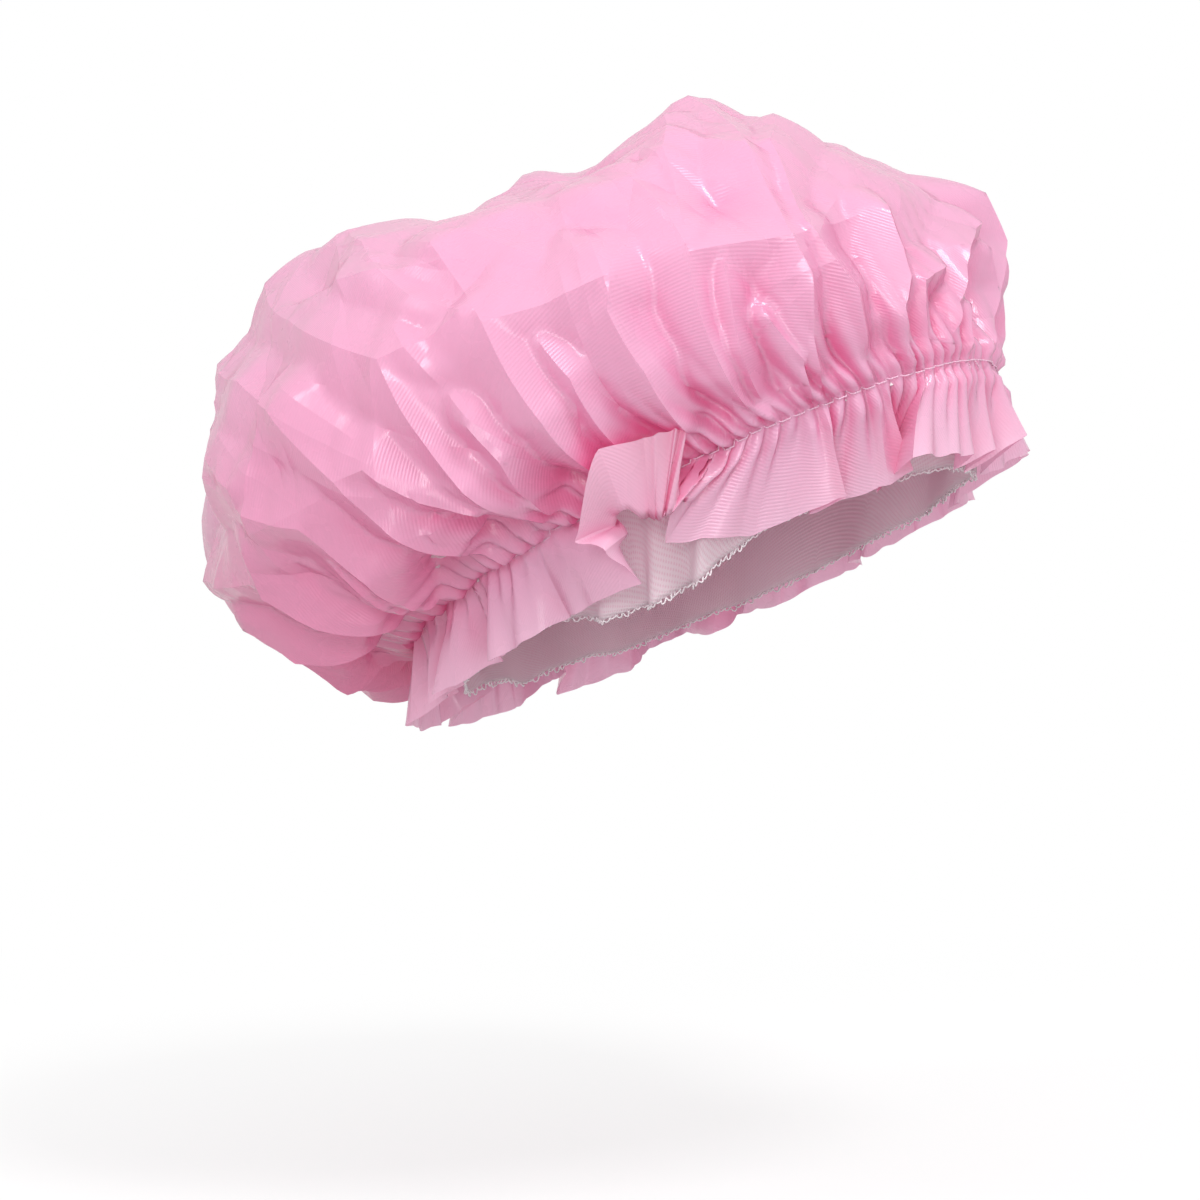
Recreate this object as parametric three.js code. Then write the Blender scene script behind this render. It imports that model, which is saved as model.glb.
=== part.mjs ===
// A shower cap in its worn shape: one gathered disc of glossy film over a terry knit lining, drawn in by
// an elastic loop that is sewn between them with a needle thread outside and a bobbin thread inside.
// Millimetres, +Z up as worn, forehead side towards -Y, origin at the middle of the head opening.

import * as THREE from 'three';

// Head opening: the ring that the elastic seam follows, tilted with its front edge up
const OPENING_LENGTH = 226;
const OPENING_WIDTH = 180;
const OPENING_TILT_DEGREES = 27;

// Crown: the puffed film above the seam, widest at a ring that sits behind the opening's middle
const CROWN_LENGTH = 300;
const CROWN_WIDTH = 272;
const CROWN_SET_BACK = 25;
const WIDEST_HEIGHT_FRONT = 52;
const WIDEST_HEIGHT_BACK = 46;
const CROWN_HEIGHT = 131;
const TOP_SET_BACK = 42;
const FRONT_LIFT = 10;
const NAPE_SAG = 36;
const UNDERSIDE_ROUND = 0.55;

// Flat film: the radius of its disc at the seam, which shares of the crown's arc are counted in
const FILM_SEAM_RADIUS = 264;

// Swells beyond the smooth crown: degrees from the forehead, share of the arc from seam to top, rise
const CROWN_SWELLS = [
  [22, 0.22, 4],
  [12, 0.34, -11],
  [-6, 0.56, 2],
  [-30, 0.67, -9],
  [-55, 0.74, -7],
  [-108, 0.72, 2],
  [-142, 0.48, -9],
  [-155, 0.2, -8],
  [35, 0.08, -6],
];
const SWELL_SPREAD = 38;

// Crests of the main folds on the right side: runs of degrees from the forehead, share of the arc and height
const SEEN_CRESTS = [
  [[-10, 0.57, 10], [-27, 0.36, 6], [-31, 0.22, 9], [-31, 0.17, 9], [-36, 0.06, 7], [-38, 0, 3]],
  [[-4, 0.47, 6], [-22, 0.36, 5], [-28, 0.23, 6], [-25, 0.13, 9], [-26, 0.08, 8], [-28, 0, 3]],
  [[-44, 0.26, 8], [-40, 0.25, 6], [-31, 0.22, 9]],
  [[-13, 0.21, 5], [-15, 0.12, 8], [-18, 0.08, 7], [-17, 0, 3]],
  [[10, 0.18, 6], [2, 0.14, 5], [-6, 0.03, 5], [-8, 0, 2]],
  [[21, 0.24, 8], [23, 0.18, 7], [16, 0.09, 5], [10, 0, 3]],
  [[-22, 0.55, 8], [-36, 0.43, 5], [-44, 0.27, 8]],
  [[-43, 0.42, 7], [-44, 0.27, 9], [-48, 0.11, 8], [-50, 0, 3]],
  [[-54, 0.28, 9], [-56, 0.25, 7], [-56, 0.17, 8], [-58, 0.08, 7], [-61, 0, 3]],
  [[-70, 0.32, 8], [-63, 0.3, 5], [-54, 0.28, 9]],
  [[-73, 0.48, 9], [-70, 0.32, 9], [-70, 0.19, 8], [-72, 0.1, 7], [-76, 0, 3]],
  [[-94, 0.7, 8], [-86, 0.6, 6], [-82, 0.5, 4], [-78, 0.42, 5], [-72, 0.35, 9]],
  [[-72, 0.35, 9], [-78, 0.35, 5], [-84, 0.36, 8], [-84, 0.18, 8], [-86, 0.06, 6], [-90, 0, 2]],
  [[-118, 0.68, 9], [-101, 0.54, 6], [-90, 0.42, 5], [-84, 0.36, 8]],
  [[-130, 0.6, 9], [-112, 0.5, 8], [-102, 0.4, 8], [-96, 0.28, 9], [-96, 0.2, 8], [-97, 0.1, 5]],
  [[-130, 0.6, 9], [-120, 0.43, 6], [-113, 0.36, 7]],
  [[-123, 0.42, 6], [-110, 0.31, 7], [-105, 0.27, 10], [-106, 0.17, 8], [-114, 0.07, 7], [-117, 0, 2]],
  [[-118, 0.3, 5], [-123, 0.25, 7], [-122, 0.11, 6], [-128, 0, 3]],
  [[-148, 0.36, 8], [-128, 0.29, 6], [-122, 0.27, 6]],
  [[-140, 0.26, 6], [-138, 0.18, 7], [-134, 0.1, 6], [-140, 0, 3]],
];
const CREST_SLOPE_LOW = 1.2;
const CREST_SLOPE_HIGH = 0.42;
const CREST_EASES_BY = 0.45;
const VALLEY_DEPTH = 6;
const CREST_LEVEL = 6;
const CREST_FLATTENS = 0.25;

// Ruffle: the free film below the seam, its depth and its flare from plumb
const RUFFLE_DEPTH_FRONT = 36;
const RUFFLE_DEPTH_BACK = 31;
const RUFFLE_FLARE_FRONT_DEGREES = 13;
const RUFFLE_FLARE_BACK_DEGREES = -15;

// Straight rulings of the ruffle on the right side: degrees from the forehead, flare and lean to the front
const SEEN_RULINGS = [
  [18, -4, 0], [13, 26, -8], [8, -4, -4], [5, 16, -6], [0, -4, -8], [-3, 15, -5], [-16, 20, -22],
  [-18.5, -24, -4], [-23, -26, 2], [-26, -3, 22], [-37, -18, -8], [-39.5, 0, 14], [-48, -6, -12],
  [-56, 4, -44], [-97, -20, 15], [-104, -6, 10], [-111.5, -26, 0], [-121, 0, -10], [-124, -30, -2],
  [-132, -6, 2], [-135, -28, 0], [-140, -22, -4], [-146, 0, -6],
];

// Rulings of the lobe turned up at the right temple: degrees, then half depth and edge, each as forward,
// outward and down from the seam
const TURNED_RULINGS = [
  [-61, [-14, 10, 16], [-6, 14, -7]],
  [-67, [-3, 12, 17], [2, 17, -8]],
  [-72, [4, 13, 16], [4, 19, -9]],
  [-76, [9, 16, 7], [4, 22, -11]],
  [-80, [2, 14, 6], [-8, 24, 13]],
  [-83, [11, 9, 14], [7, 20, 20]],
  [-87, [13, 4, 18], [25, 5, 35]],
  [-91, [8, 0, 16], [14, -2, 32]],
];

// The lining's skirt under that lobe: degrees, flare, lean and depth
const SKIRT_RULINGS = [
  [-56, -8, -6, 38], [-61, 1, -6, 43], [-67, -14, 2, 42], [-72, 3, 0, 44],
  [-76, -10, 4, 42], [-83, -4, 0, 40], [-87, -18, 0, 38], [-91, -24, 0, 36],
];

// Columns between rulings that stand far apart
const PLAIN_COLUMNS_DEGREES = [-10, -31, -44, -52, -128];

// Folds of the left side, alike in kind: each lobe has a ridge and a valley, and a crest above its ridge
const FAR_FROM_DEGREES = 18;
const FAR_TO_DEGREES = 214;
const FAR_LOBES = 13;
const FAR_SWAY_DEGREES = 2;
const LOBE_HALF_DEGREES = 3.6;
const LOBE_FLARE_DEGREES = 17;
const LOBE_LEAN_DEGREES = 12;
const LOBE_BOLDNESS = 0.95;
const BOLDNESS_SWAY = 0.25;

// Their crests, low and tall in turn: runs of shares of the drift, of the arc and of the height
const FAR_STEMS = [
  [[0, 0, 0.35], [0.2, 0.07, 0.85], [0.5, 0.16, 1], [1, 0.28, 0.7]],
  [[0, 0, 0.35], [0.2, 0.07, 0.85], [0.5, 0.16, 1], [1, 0.5, 1.1]],
];
const STEM_HEIGHT = 7.2;
const STEM_SWAY = 0.2;
const STEM_DRIFT_DEGREES = 9;
const BRANCH_DEGREES = 13;
const BRANCH_CLIMB = 0.04;
const BRANCH_SWAY = 0.12;
const BRANCH_HEIGHT = 6;

// Lining: how far it hangs inside the film's folds in the crown. Its skirt is a share of the ruffle's depth,
// and hangs as far in as the deepest valley of the ruffle within reach
const LINING_EASE = 12;
const SKIRT_SHARE = 0.95;
const SKIRT_REACH_DEGREES = 9;

// Sheets and trim
const FILM_WALL = 0.6;
const LINING_WALL = 1.4;
const ELASTIC_WIDTH = 6;
const ELASTIC_WALL = 0.8;
const ELASTIC_LAP = 20;
const ELASTIC_MARGIN = 0.5;
const THREAD_DIAMETER = 0.5;
const THREAD_SIDES = 4;
const STITCH_LENGTH = 5;
const STITCH_RISE = 0.25;
const THREAD_END_GAP = 1.5;
const TAIL_LENGTH = 9;
const LAYER_GAP = 0.3;

// Rows up the cap: the ruffle's edge and half depth, then shares of the crown's arc from the seam to the top
const RUFFLE_ROWS = ['edge', 'half'];
const CROWN_ROWS = [0.09, 0.2, 0.31, 0.45, 0.62, 0.8];
const CURVE_STEPS = 12;

const radians = THREE.MathUtils.degToRad;
const lerp = THREE.MathUtils.lerp;
const wholeTurn = (degrees) => THREE.MathUtils.euclideanModulo(degrees, 360);

// Values that follow from the dimensions
const STRIP_HALF = ELASTIC_WIDTH / 2 + ELASTIC_MARGIN;
const ELASTIC_INSET = FILM_WALL + LAYER_GAP;
const LINING_INSET = ELASTIC_INSET + 2 * ELASTIC_WALL + 2 * LAYER_GAP;
const THREAD_RADIUS = THREAD_DIAMETER / 2;
const UP = new THREE.Vector3(0, 0, 1);
const AXLE = new THREE.Vector3(1, 0, 0);
const PLUMB = UP.clone().negate().applyAxisAngle(AXLE, radians(OPENING_TILT_DEGREES));
const TOP = new THREE.Vector3(0, TOP_SET_BACK, CROWN_HEIGHT);
const STRIP_BOTTOM_ROW = RUFFLE_ROWS.length;
const STRIP_TOP_ROW = STRIP_BOTTOM_ROW + 1;
const FIRST_CROWN_ROW = STRIP_TOP_ROW + 1;
const TOP_RADIUS = 1;

// How much a place belongs to the front of the cap: 1 at the forehead, 0 at the nape
const frontShare = (angle) => (1 + Math.cos(angle)) / 2;

// A fixed uneven number between -1 and 1 for a numbered fold
const wobble = (number, salt) => Math.sin(97 * number + 31 * salt);

// The lobes of the left side: their ridges and valleys in degrees from the forehead
const farLobes = Array.from({ length: FAR_LOBES }, (_, number) => {
  const step = (FAR_TO_DEGREES - FAR_FROM_DEGREES) / FAR_LOBES;
  const middle = FAR_FROM_DEGREES + step * (number + 0.5) + FAR_SWAY_DEGREES * wobble(number, 1);
  const side = Math.sign(wobble(number, 2));
  return {
    side,
    ridge: middle - side * LOBE_HALF_DEGREES,
    valley: middle + side * LOBE_HALF_DEGREES,
    bold: LOBE_BOLDNESS + BOLDNESS_SWAY * wobble(number, 3),
  };
});

// The crest that climbs from a lobe's ridge, and a branch off the top of every other one
function farCrests(lobe, number) {
  const size = 1 + STEM_SWAY * wobble(number, 4);
  const drift = STEM_DRIFT_DEGREES * wobble(number, 5);
  const height = STEM_HEIGHT * (1 + STEM_SWAY * wobble(number, 6));
  const stem = FAR_STEMS[number % 2].map((step) => [
    lobe.ridge + step[0] * drift,
    step[1] * size,
    step[2] * height,
  ]);
  const top = stem[stem.length - 1];
  const branch = [
    top[0] + Math.sign(wobble(number, 7)) * BRANCH_DEGREES,
    top[1] + BRANCH_CLIMB + BRANCH_SWAY * wobble(number, 8),
    BRANCH_HEIGHT,
  ];
  return number % 2 ? [stem, [top, branch]] : [stem];
}

const crests = [...SEEN_CRESTS, ...farLobes.flatMap(farCrests)];

// The signed turn from one angle to another, the short way round
const turnBetween = (from, to) => Math.atan2(Math.sin(to - from), Math.cos(to - from));

// A place on the crown from another, in millimetres around a ring of some radius and up the arc
function crownStep(fromDegrees, fromShare, angle, share, radius) {
  return new THREE.Vector2(
    turnBetween(radians(fromDegrees), angle) * radius,
    (share - fromShare) * FILM_SEAM_RADIUS,
  );
}

function swellRise(angle, share, radius) {
  return CROWN_SWELLS.reduce((rise, [degrees, up, height]) => {
    const apart = crownStep(degrees, up, angle, share, radius).length();
    return rise + height * Math.exp(-((apart / SWELL_SPREAD) ** 2));
  }, 0);
}

// The highest of all crests at a place, each falling off at a steady slope, and flatter high on the crown
function crestRise(angle, share, radius) {
  const ease = THREE.MathUtils.smoothstep(share, 0, CREST_EASES_BY);
  const slope = lerp(CREST_SLOPE_LOW, CREST_SLOPE_HIGH, ease);
  let rise = -VALLEY_DEPTH;
  for (const crest of crests) {
    for (let step = 0; step + 1 < crest.length; step += 1) {
      const [degrees, up, height] = crest[step];
      const [nextDegrees, nextUp, nextHeight] = crest[step + 1];
      const place = crownStep(degrees, up, angle, share, radius);
      const run = crownStep(degrees, up, radians(nextDegrees), nextUp, radius);
      const along = THREE.MathUtils.clamp(place.dot(run) / run.lengthSq(), 0, 1);
      const apart = place.distanceTo(run.clone().multiplyScalar(along));
      rise = Math.max(rise, lerp(height, nextHeight, along) - slope * apart);
    }
  }
  return lerp(rise, CREST_LEVEL, CREST_FLATTENS * ease);
}

function ringPoint(angle, height) {
  return new THREE.Vector3(
    (OPENING_WIDTH / 2) * Math.sin(angle),
    (-OPENING_LENGTH / 2) * Math.cos(angle),
    height,
  );
}

function ringOutward(angle) {
  return new THREE.Vector3(Math.sin(angle) / OPENING_WIDTH, -Math.cos(angle) / OPENING_LENGTH, 0).normalize();
}

function widestPoint(angle) {
  return new THREE.Vector3(
    (CROWN_WIDTH / 2) * Math.sin(angle),
    CROWN_SET_BACK - (CROWN_LENGTH / 2) * Math.cos(angle),
    lerp(WIDEST_HEIGHT_BACK, WIDEST_HEIGHT_FRONT, frontShare(angle)),
  );
}

// The arc from the seam out to the widest ring: it lifts at the forehead and sags behind the nape
function undersideCurve(angle) {
  const start = ringPoint(angle, STRIP_HALF);
  const end = widestPoint(angle);
  const back = 1 - frontShare(angle);
  const first = start.clone().lerp(end, 0.5);
  first.z = start.z + FRONT_LIFT * frontShare(angle) - NAPE_SAG * back * back;
  const second = end.clone();
  second.z -= UNDERSIDE_ROUND * end.z;
  return new THREE.CubicBezierCurve3(start, first, second, end);
}

function overTop(angle, climb) {
  const widest = widestPoint(angle);
  return new THREE.Vector3(
    lerp(TOP.x, widest.x, Math.cos(climb)),
    lerp(TOP.y, widest.y, Math.cos(climb)),
    lerp(widest.z, TOP.z, Math.sin(climb)),
  );
}

const ruffleDepth = (angle) => lerp(RUFFLE_DEPTH_BACK, RUFFLE_DEPTH_FRONT, frontShare(angle));

// A ruling of the ruffle or the skirt: its angle, and where its half depth and its edge lie from the seam
function bentRuling(degrees, half, edge) {
  return { degrees: wholeTurn(degrees), half: new THREE.Vector3(...half), edge: new THREE.Vector3(...edge) };
}

function straightRuling(degrees, flare, lean, depth) {
  const way = new THREE.Vector3(Math.tan(radians(lean)), Math.tan(radians(flare)), 1).setLength(depth);
  return bentRuling(degrees, way.clone().multiplyScalar(0.5).toArray(), way.toArray());
}

// Straight rulings of one lobe on the left side
function farRulings(lobe) {
  const share = frontShare(radians(lobe.ridge));
  const flare = lerp(RUFFLE_FLARE_BACK_DEGREES, RUFFLE_FLARE_FRONT_DEGREES, share);
  const swing = LOBE_FLARE_DEGREES * lobe.bold;
  return [
    [lobe.ridge, flare + swing, lobe.side * LOBE_LEAN_DEGREES * lobe.bold],
    [lobe.valley, flare - swing, 0],
  ];
}

const plainRulings = [...SEEN_RULINGS, ...farLobes.flatMap(farRulings)];
const byAngle = (one, other) => one.degrees - other.degrees;

const filmRulings = [
  ...plainRulings.map(([degrees, flare, lean]) =>
    straightRuling(degrees, flare, lean, ruffleDepth(radians(degrees))),
  ),
  ...TURNED_RULINGS.map((row) => bentRuling(...row)),
].sort(byAngle);

// The skirt's ruling under one of the ruffle's, plumb sideways and inside every valley near it
function skirtRuling(degrees) {
  const near = plainRulings.filter(
    ([other]) => Math.abs(turnBetween(radians(degrees), radians(other))) < radians(SKIRT_REACH_DEGREES),
  );
  const flare = Math.min(...near.map(([, each]) => each));
  return straightRuling(degrees, flare, 0, SKIRT_SHARE * ruffleDepth(radians(degrees)));
}

const ownSkirt = new Set(SKIRT_RULINGS.map(([degrees]) => degrees));
const skirtRulings = [
  ...plainRulings.filter(([degrees]) => !ownSkirt.has(degrees)).map(([degrees]) => skirtRuling(degrees)),
  ...SKIRT_RULINGS.map((row) => straightRuling(...row)),
].sort(byAngle);

// The columns of both sheets: every ruling of the film, and the plain ones between
const rulingDegrees = filmRulings.map((ruling) => ruling.degrees);
const columnDegrees = [...rulingDegrees, ...PLAIN_COLUMNS_DEGREES.map(wholeTurn)];
const columnAngles = columnDegrees.sort((one, other) => one - other).map(radians);
const COLUMNS = columnAngles.length;

// A point of the ruffle or the skirt, between the two rulings on either side
function hangingPoint(angle, row, rulings) {
  const degrees = THREE.MathUtils.radToDeg(angle);
  const found = rulings.findIndex((ruling) => ruling.degrees > degrees);
  const after = rulings[found < 0 ? 0 : found];
  const before = rulings.at(found < 0 ? -1 : found - 1);
  const share = wholeTurn(degrees - before.degrees) / wholeTurn(after.degrees - before.degrees);
  const place = before[row].clone().lerp(after[row], share);
  const outward = ringOutward(angle);
  return ringPoint(angle, 0)
    .addScaledVector(UP.clone().cross(outward), place.x)
    .addScaledVector(outward, place.y)
    .addScaledVector(PLUMB, place.z);
}

// The smooth crown over one column, from the seam strip to the top
function crownCurve(angle) {
  const steps = Array.from({ length: CURVE_STEPS }, (_, step) => (step + 1) / CURVE_STEPS);
  const over = steps.map((share) => overTop(angle, (share * Math.PI) / 2));
  return new THREE.CatmullRomCurve3([...undersideCurve(angle).getPoints(CURVE_STEPS), ...over]);
}

// One column of a sheet from its cut edge to just below the top, before any swells and crests
function meridian(angle, rulings) {
  const curve = crownCurve(angle);
  return [
    ...RUFFLE_ROWS.map((row) => hangingPoint(angle, row, rulings)),
    ringPoint(angle, -STRIP_HALF),
    ringPoint(angle, STRIP_HALF),
    ...CROWN_ROWS.map((share) => curve.getPointAt(share)),
  ];
}

// How far the lining lies inside the film in each row: close at the seam and its skirt, loose in the crown
const insetByRow = [
  ...RUFFLE_ROWS.map(() => LINING_INSET),
  LINING_INSET,
  LINING_INSET,
  ...CROWN_ROWS.map((share) => LINING_INSET + LINING_EASE * Math.min(1, share / CROWN_ROWS[1])),
];

// Columns of base points, each with the outward direction and the stretch that keeps a layer's wall even
function layOut(rulings) {
  const columns = columnAngles.map((angle) => meridian(angle, rulings));
  return columns.map((points, column) => {
    const ahead = columns[(column + 1) % COLUMNS];
    const behind = columns[(column + COLUMNS - 1) % COLUMNS];
    return points.map((base, row) => {
      const around = ahead[row].clone().sub(behind[row]);
      const above = points[row + 1] ?? TOP;
      const upper = around.clone().cross(above.clone().sub(base)).normalize();
      const lower = row > 0 ? around.clone().cross(base.clone().sub(points[row - 1])).normalize() : upper;
      const outward = upper.clone().add(lower).normalize();
      return { base, outward, stretch: 1 / outward.dot(upper) };
    });
  });
}

const filmColumns = layOut(filmRulings);
const skirtColumns = layOut(skirtRulings);

// The radius of a circle as long as one row of the film
function rowRadius(row) {
  const ring = filmColumns.map((points) => points[row].base);
  const steps = ring.map((point, column) => point.distanceTo(ring[(column + 1) % COLUMNS]));
  return steps.reduce((sum, step) => sum + step, 0) / (2 * Math.PI);
}

// A rise of the crown, by row and column, with none in the ruffle and the seam strip
function riseTable(riseAt) {
  const low = Array.from({ length: FIRST_CROWN_ROW }, () => columnAngles.map(() => 0));
  const high = CROWN_ROWS.map((share, place) => {
    const radius = rowRadius(FIRST_CROWN_ROW + place);
    return columnAngles.map((angle) => riseAt(angle, share, radius));
  });
  return [...low, ...high];
}

const foldRise = (angle, share, radius) => swellRise(angle, share, radius) + crestRise(angle, share, radius);
const swells = riseTable(swellRise);
const folds = riseTable(foldRise);
const topSwell = swellRise(0, 1, TOP_RADIUS);
const topFold = foldRise(0, 1, TOP_RADIUS);

// A layer's points, row by row, raised by a table of rises and then set a distance inside
function layerRows(columns, rises, insideOf) {
  return rises.map((row, level) =>
    row.map((rise, column) => {
      const { base, outward, stretch } = columns[column][level];
      return base.clone().addScaledVector(outward, rise - insideOf(level) * stretch);
    }),
  );
}

function bufferGeometry(points, triangles) {
  const geometry = new THREE.BufferGeometry();
  const values = points.flatMap((point) => [point.x, point.y, point.z]);
  geometry.setAttribute('position', new THREE.Float32BufferAttribute(values, 3));
  geometry.setIndex(triangles);
  geometry.computeVertexNormals();
  return geometry;
}

// A closed sheet from an outer and an inner set of rows, joined around the cut edge
function sheetGeometry(outerRows, outerTop, innerRows, innerTop) {
  const rows = outerRows.length;
  const points = [...outerRows.flat(), outerTop, ...innerRows.flat(), innerTop];
  const innerStart = rows * COLUMNS + 1;
  const triangles = [];
  const quad = (a, b, c, d) => triangles.push(a, b, c, a, c, d);
  for (let column = 0; column < COLUMNS; column += 1) {
    const next = (column + 1) % COLUMNS;
    for (let row = 0; row + 1 < rows; row += 1) {
      const low = row * COLUMNS;
      const high = low + COLUMNS;
      quad(low + column, low + next, high + next, high + column);
      const [under, over] = [innerStart + low, innerStart + high];
      quad(under + column, over + column, over + next, under + next);
    }
    const last = (rows - 1) * COLUMNS;
    triangles.push(last + column, last + next, rows * COLUMNS);
    triangles.push(innerStart + last + next, innerStart + last + column, innerStart + rows * COLUMNS);
    quad(next, column, innerStart + column, innerStart + next);
  }
  return bufferGeometry(points, triangles);
}

// A closed solid through a run of like sections, each ordered anticlockwise about the way ahead
function loftGeometry(sections) {
  const sides = sections[0].length;
  const triangles = [];
  for (let station = 0; station + 1 < sections.length; station += 1) {
    for (let side = 0; side < sides; side += 1) {
      const a = station * sides + side;
      const b = station * sides + ((side + 1) % sides);
      triangles.push(a, b, b + sides, a, b + sides, a + sides);
    }
  }
  const last = (sections.length - 1) * sides;
  for (let side = 1; side + 1 < sides; side += 1) {
    triangles.push(0, side + 1, side);
    triangles.push(last, last + side, last + side + 1);
  }
  return bufferGeometry(sections.flat(), triangles);
}

// A round strand along a path, its section carried along without twist
function strandGeometry(path) {
  let across = UP.clone();
  const sections = path.map((centre, station) => {
    const from = path[Math.max(station - 1, 0)];
    const to = path[Math.min(station + 1, path.length - 1)];
    const ahead = to.clone().sub(from).normalize();
    across = across.clone().addScaledVector(ahead, -across.dot(ahead)).normalize();
    const third = ahead.clone().cross(across);
    return Array.from({ length: THREAD_SIDES }, (_, side) => {
      const turn = (2 * Math.PI * side) / THREAD_SIDES;
      return centre
        .clone()
        .addScaledVector(across, THREAD_RADIUS * Math.cos(turn))
        .addScaledVector(third, THREAD_RADIUS * Math.sin(turn));
    });
  });
  return loftGeometry(sections);
}

// A point between two columns of a ring of points, counted in columns and fractions of one
function alongRing(ring, place) {
  const column = Math.floor(place);
  return ring[column % COLUMNS].clone().lerp(ring[(column + 1) % COLUMNS], place - column);
}

const outwardRing = columnAngles.map(ringOutward);
const filmOuter = layerRows(filmColumns, folds, () => 0);
const filmInner = layerRows(filmColumns, folds, () => FILM_WALL);
const liningOuter = layerRows(skirtColumns, swells, (row) => insetByRow[row]);
const liningInner = layerRows(skirtColumns, swells, (row) => insetByRow[row] + LINING_WALL);

const topAt = (rise) => TOP.clone().addScaledVector(UP, rise);
const liningTop = topSwell - insetByRow[insetByRow.length - 1];

// The middle of the seam strip on one face of a sheet, moved outward by some distance
function seamLine(rows, distance) {
  return rows[STRIP_BOTTOM_ROW].map((bottom, column) =>
    bottom
      .clone()
      .lerp(rows[STRIP_TOP_ROW][column], 0.5)
      .addScaledVector(outwardRing[column], distance),
  );
}

// The elastic runs once round the opening and laps its own end on the inside, at the forehead
function elasticSections() {
  const ring = columnAngles.map((angle) => ringPoint(angle, 0));
  const columnWidth = ring[0].distanceTo(ring[1]);
  const lapColumns = ELASTIC_LAP / columnWidth;
  const whole = Array.from({ length: COLUMNS + Math.ceil(lapColumns) }, (_, station) => station);
  const stations = [...whole, COLUMNS + lapColumns];
  return stations.map((place) => {
    const step = THREE.MathUtils.clamp((place - (COLUMNS - lapColumns)) / lapColumns, 0, 1);
    const outer = -ELASTIC_INSET - step * (ELASTIC_WALL + LAYER_GAP);
    const corner = (distance, height) =>
      alongRing(ring, place)
        .addScaledVector(alongRing(outwardRing, place), distance)
        .addScaledVector(UP, height);
    return [
      corner(outer, -ELASTIC_WIDTH / 2),
      corner(outer - ELASTIC_WALL, -ELASTIC_WIDTH / 2),
      corner(outer - ELASTIC_WALL, ELASTIC_WIDTH / 2),
      corner(outer, ELASTIC_WIDTH / 2),
    ];
  });
}

// Stitches along a seam line: each dips at its needle hole and stands off between holes
function stitchPath(rows, side) {
  const hole = seamLine(rows, side * (LAYER_GAP + THREAD_RADIUS));
  const crest = seamLine(rows, side * (LAYER_GAP + THREAD_RADIUS + STITCH_RISE));
  const path = [];
  for (let column = 0; column < COLUMNS; column += 1) {
    const width = hole[column].distanceTo(hole[(column + 1) % COLUMNS]);
    const halves = 2 * Math.max(1, Math.round(width / STITCH_LENGTH));
    for (let half = 0; half < halves; half += 1) {
      path.push(alongRing(half % 2 === 0 ? hole : crest, column + half / halves));
    }
  }
  const last = path[path.length - 1];
  const room = last.distanceTo(path[0]) - THREAD_END_GAP;
  return room > 0 ? path : path.slice(0, -1);
}

// The loose end of the needle thread, lying down the outside of the ruffle at the forehead
function threadTail(path) {
  const place = COLUMNS - 0.5;
  const top = alongRing(filmOuter[STRIP_BOTTOM_ROW], place);
  const low = alongRing(filmOuter[STRIP_BOTTOM_ROW - 1], place);
  const outward = alongRing(outwardRing, place);
  const clear = 5 * (LAYER_GAP + THREAD_RADIUS);
  const reach = TAIL_LENGTH / top.distanceTo(low);
  const lift = path[path.length - 1].clone().addScaledVector(outward, clear);
  const hang = [0.2, 0.6, 1].map((share) =>
    top.clone().lerp(low, reach * share).addScaledVector(outward, clear),
  );
  return [lift, ...hang];
}

function material(colour, roughness) {
  return new THREE.MeshStandardMaterial({ color: colour, roughness, metalness: 0 });
}

const filmPink = material(0xf0a5c8, 0.3);
const terryPink = material(0xf0dde6, 0.95);
const elasticWhite = material(0xf4efee, 0.8);
const threadPink = material(0xf6d9e5, 0.6);

const needlePath = stitchPath(filmOuter, 1);
const bobbinPath = stitchPath(liningInner, -1);

const subParts = [
  ['film_cap', sheetGeometry(filmOuter, topAt(topFold), filmInner, topAt(topFold - FILM_WALL)), filmPink],
  [
    'terry_lining',
    sheetGeometry(liningOuter, topAt(liningTop), liningInner, topAt(liningTop - LINING_WALL)),
    terryPink,
  ],
  ['elastic_band', loftGeometry(elasticSections()), elasticWhite],
  ['needle_thread', strandGeometry([...needlePath, ...threadTail(needlePath)]), threadPink],
  ['bobbin_thread', strandGeometry(bobbinPath), threadPink],
];

const showerCap = new THREE.Group();
showerCap.name = 'shower_cap';
showerCap.rotation.x = -radians(OPENING_TILT_DEGREES);
for (const [name, geometry, finish] of subParts) {
  const mesh = new THREE.Mesh(geometry, finish);
  mesh.name = name;
  showerCap.add(mesh);
}

export default showerCap;
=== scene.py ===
"""A shower cap as worn: one gathered disc of glossy film over a terry lining, drawn in by an elastic seam.

The film is a flat disc laid on the cap's smooth shape and raised by its swells, crests, creases and gathers.
Its mesh has an edge along every crest, crease and ruling. The lining is a disc of cloth that a solver gathers
inside the film; points that stand out of the film are then moved back inside.
Sizes are millimetres in the frame of the head opening, which is tilted into the part's frame at the end.
"""
import math

import bpy
import numpy as np
from mathutils import Matrix, Vector
from mathutils.geometry import delaunay_2d_cdt
from mathutils.kdtree import KDTree


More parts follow.
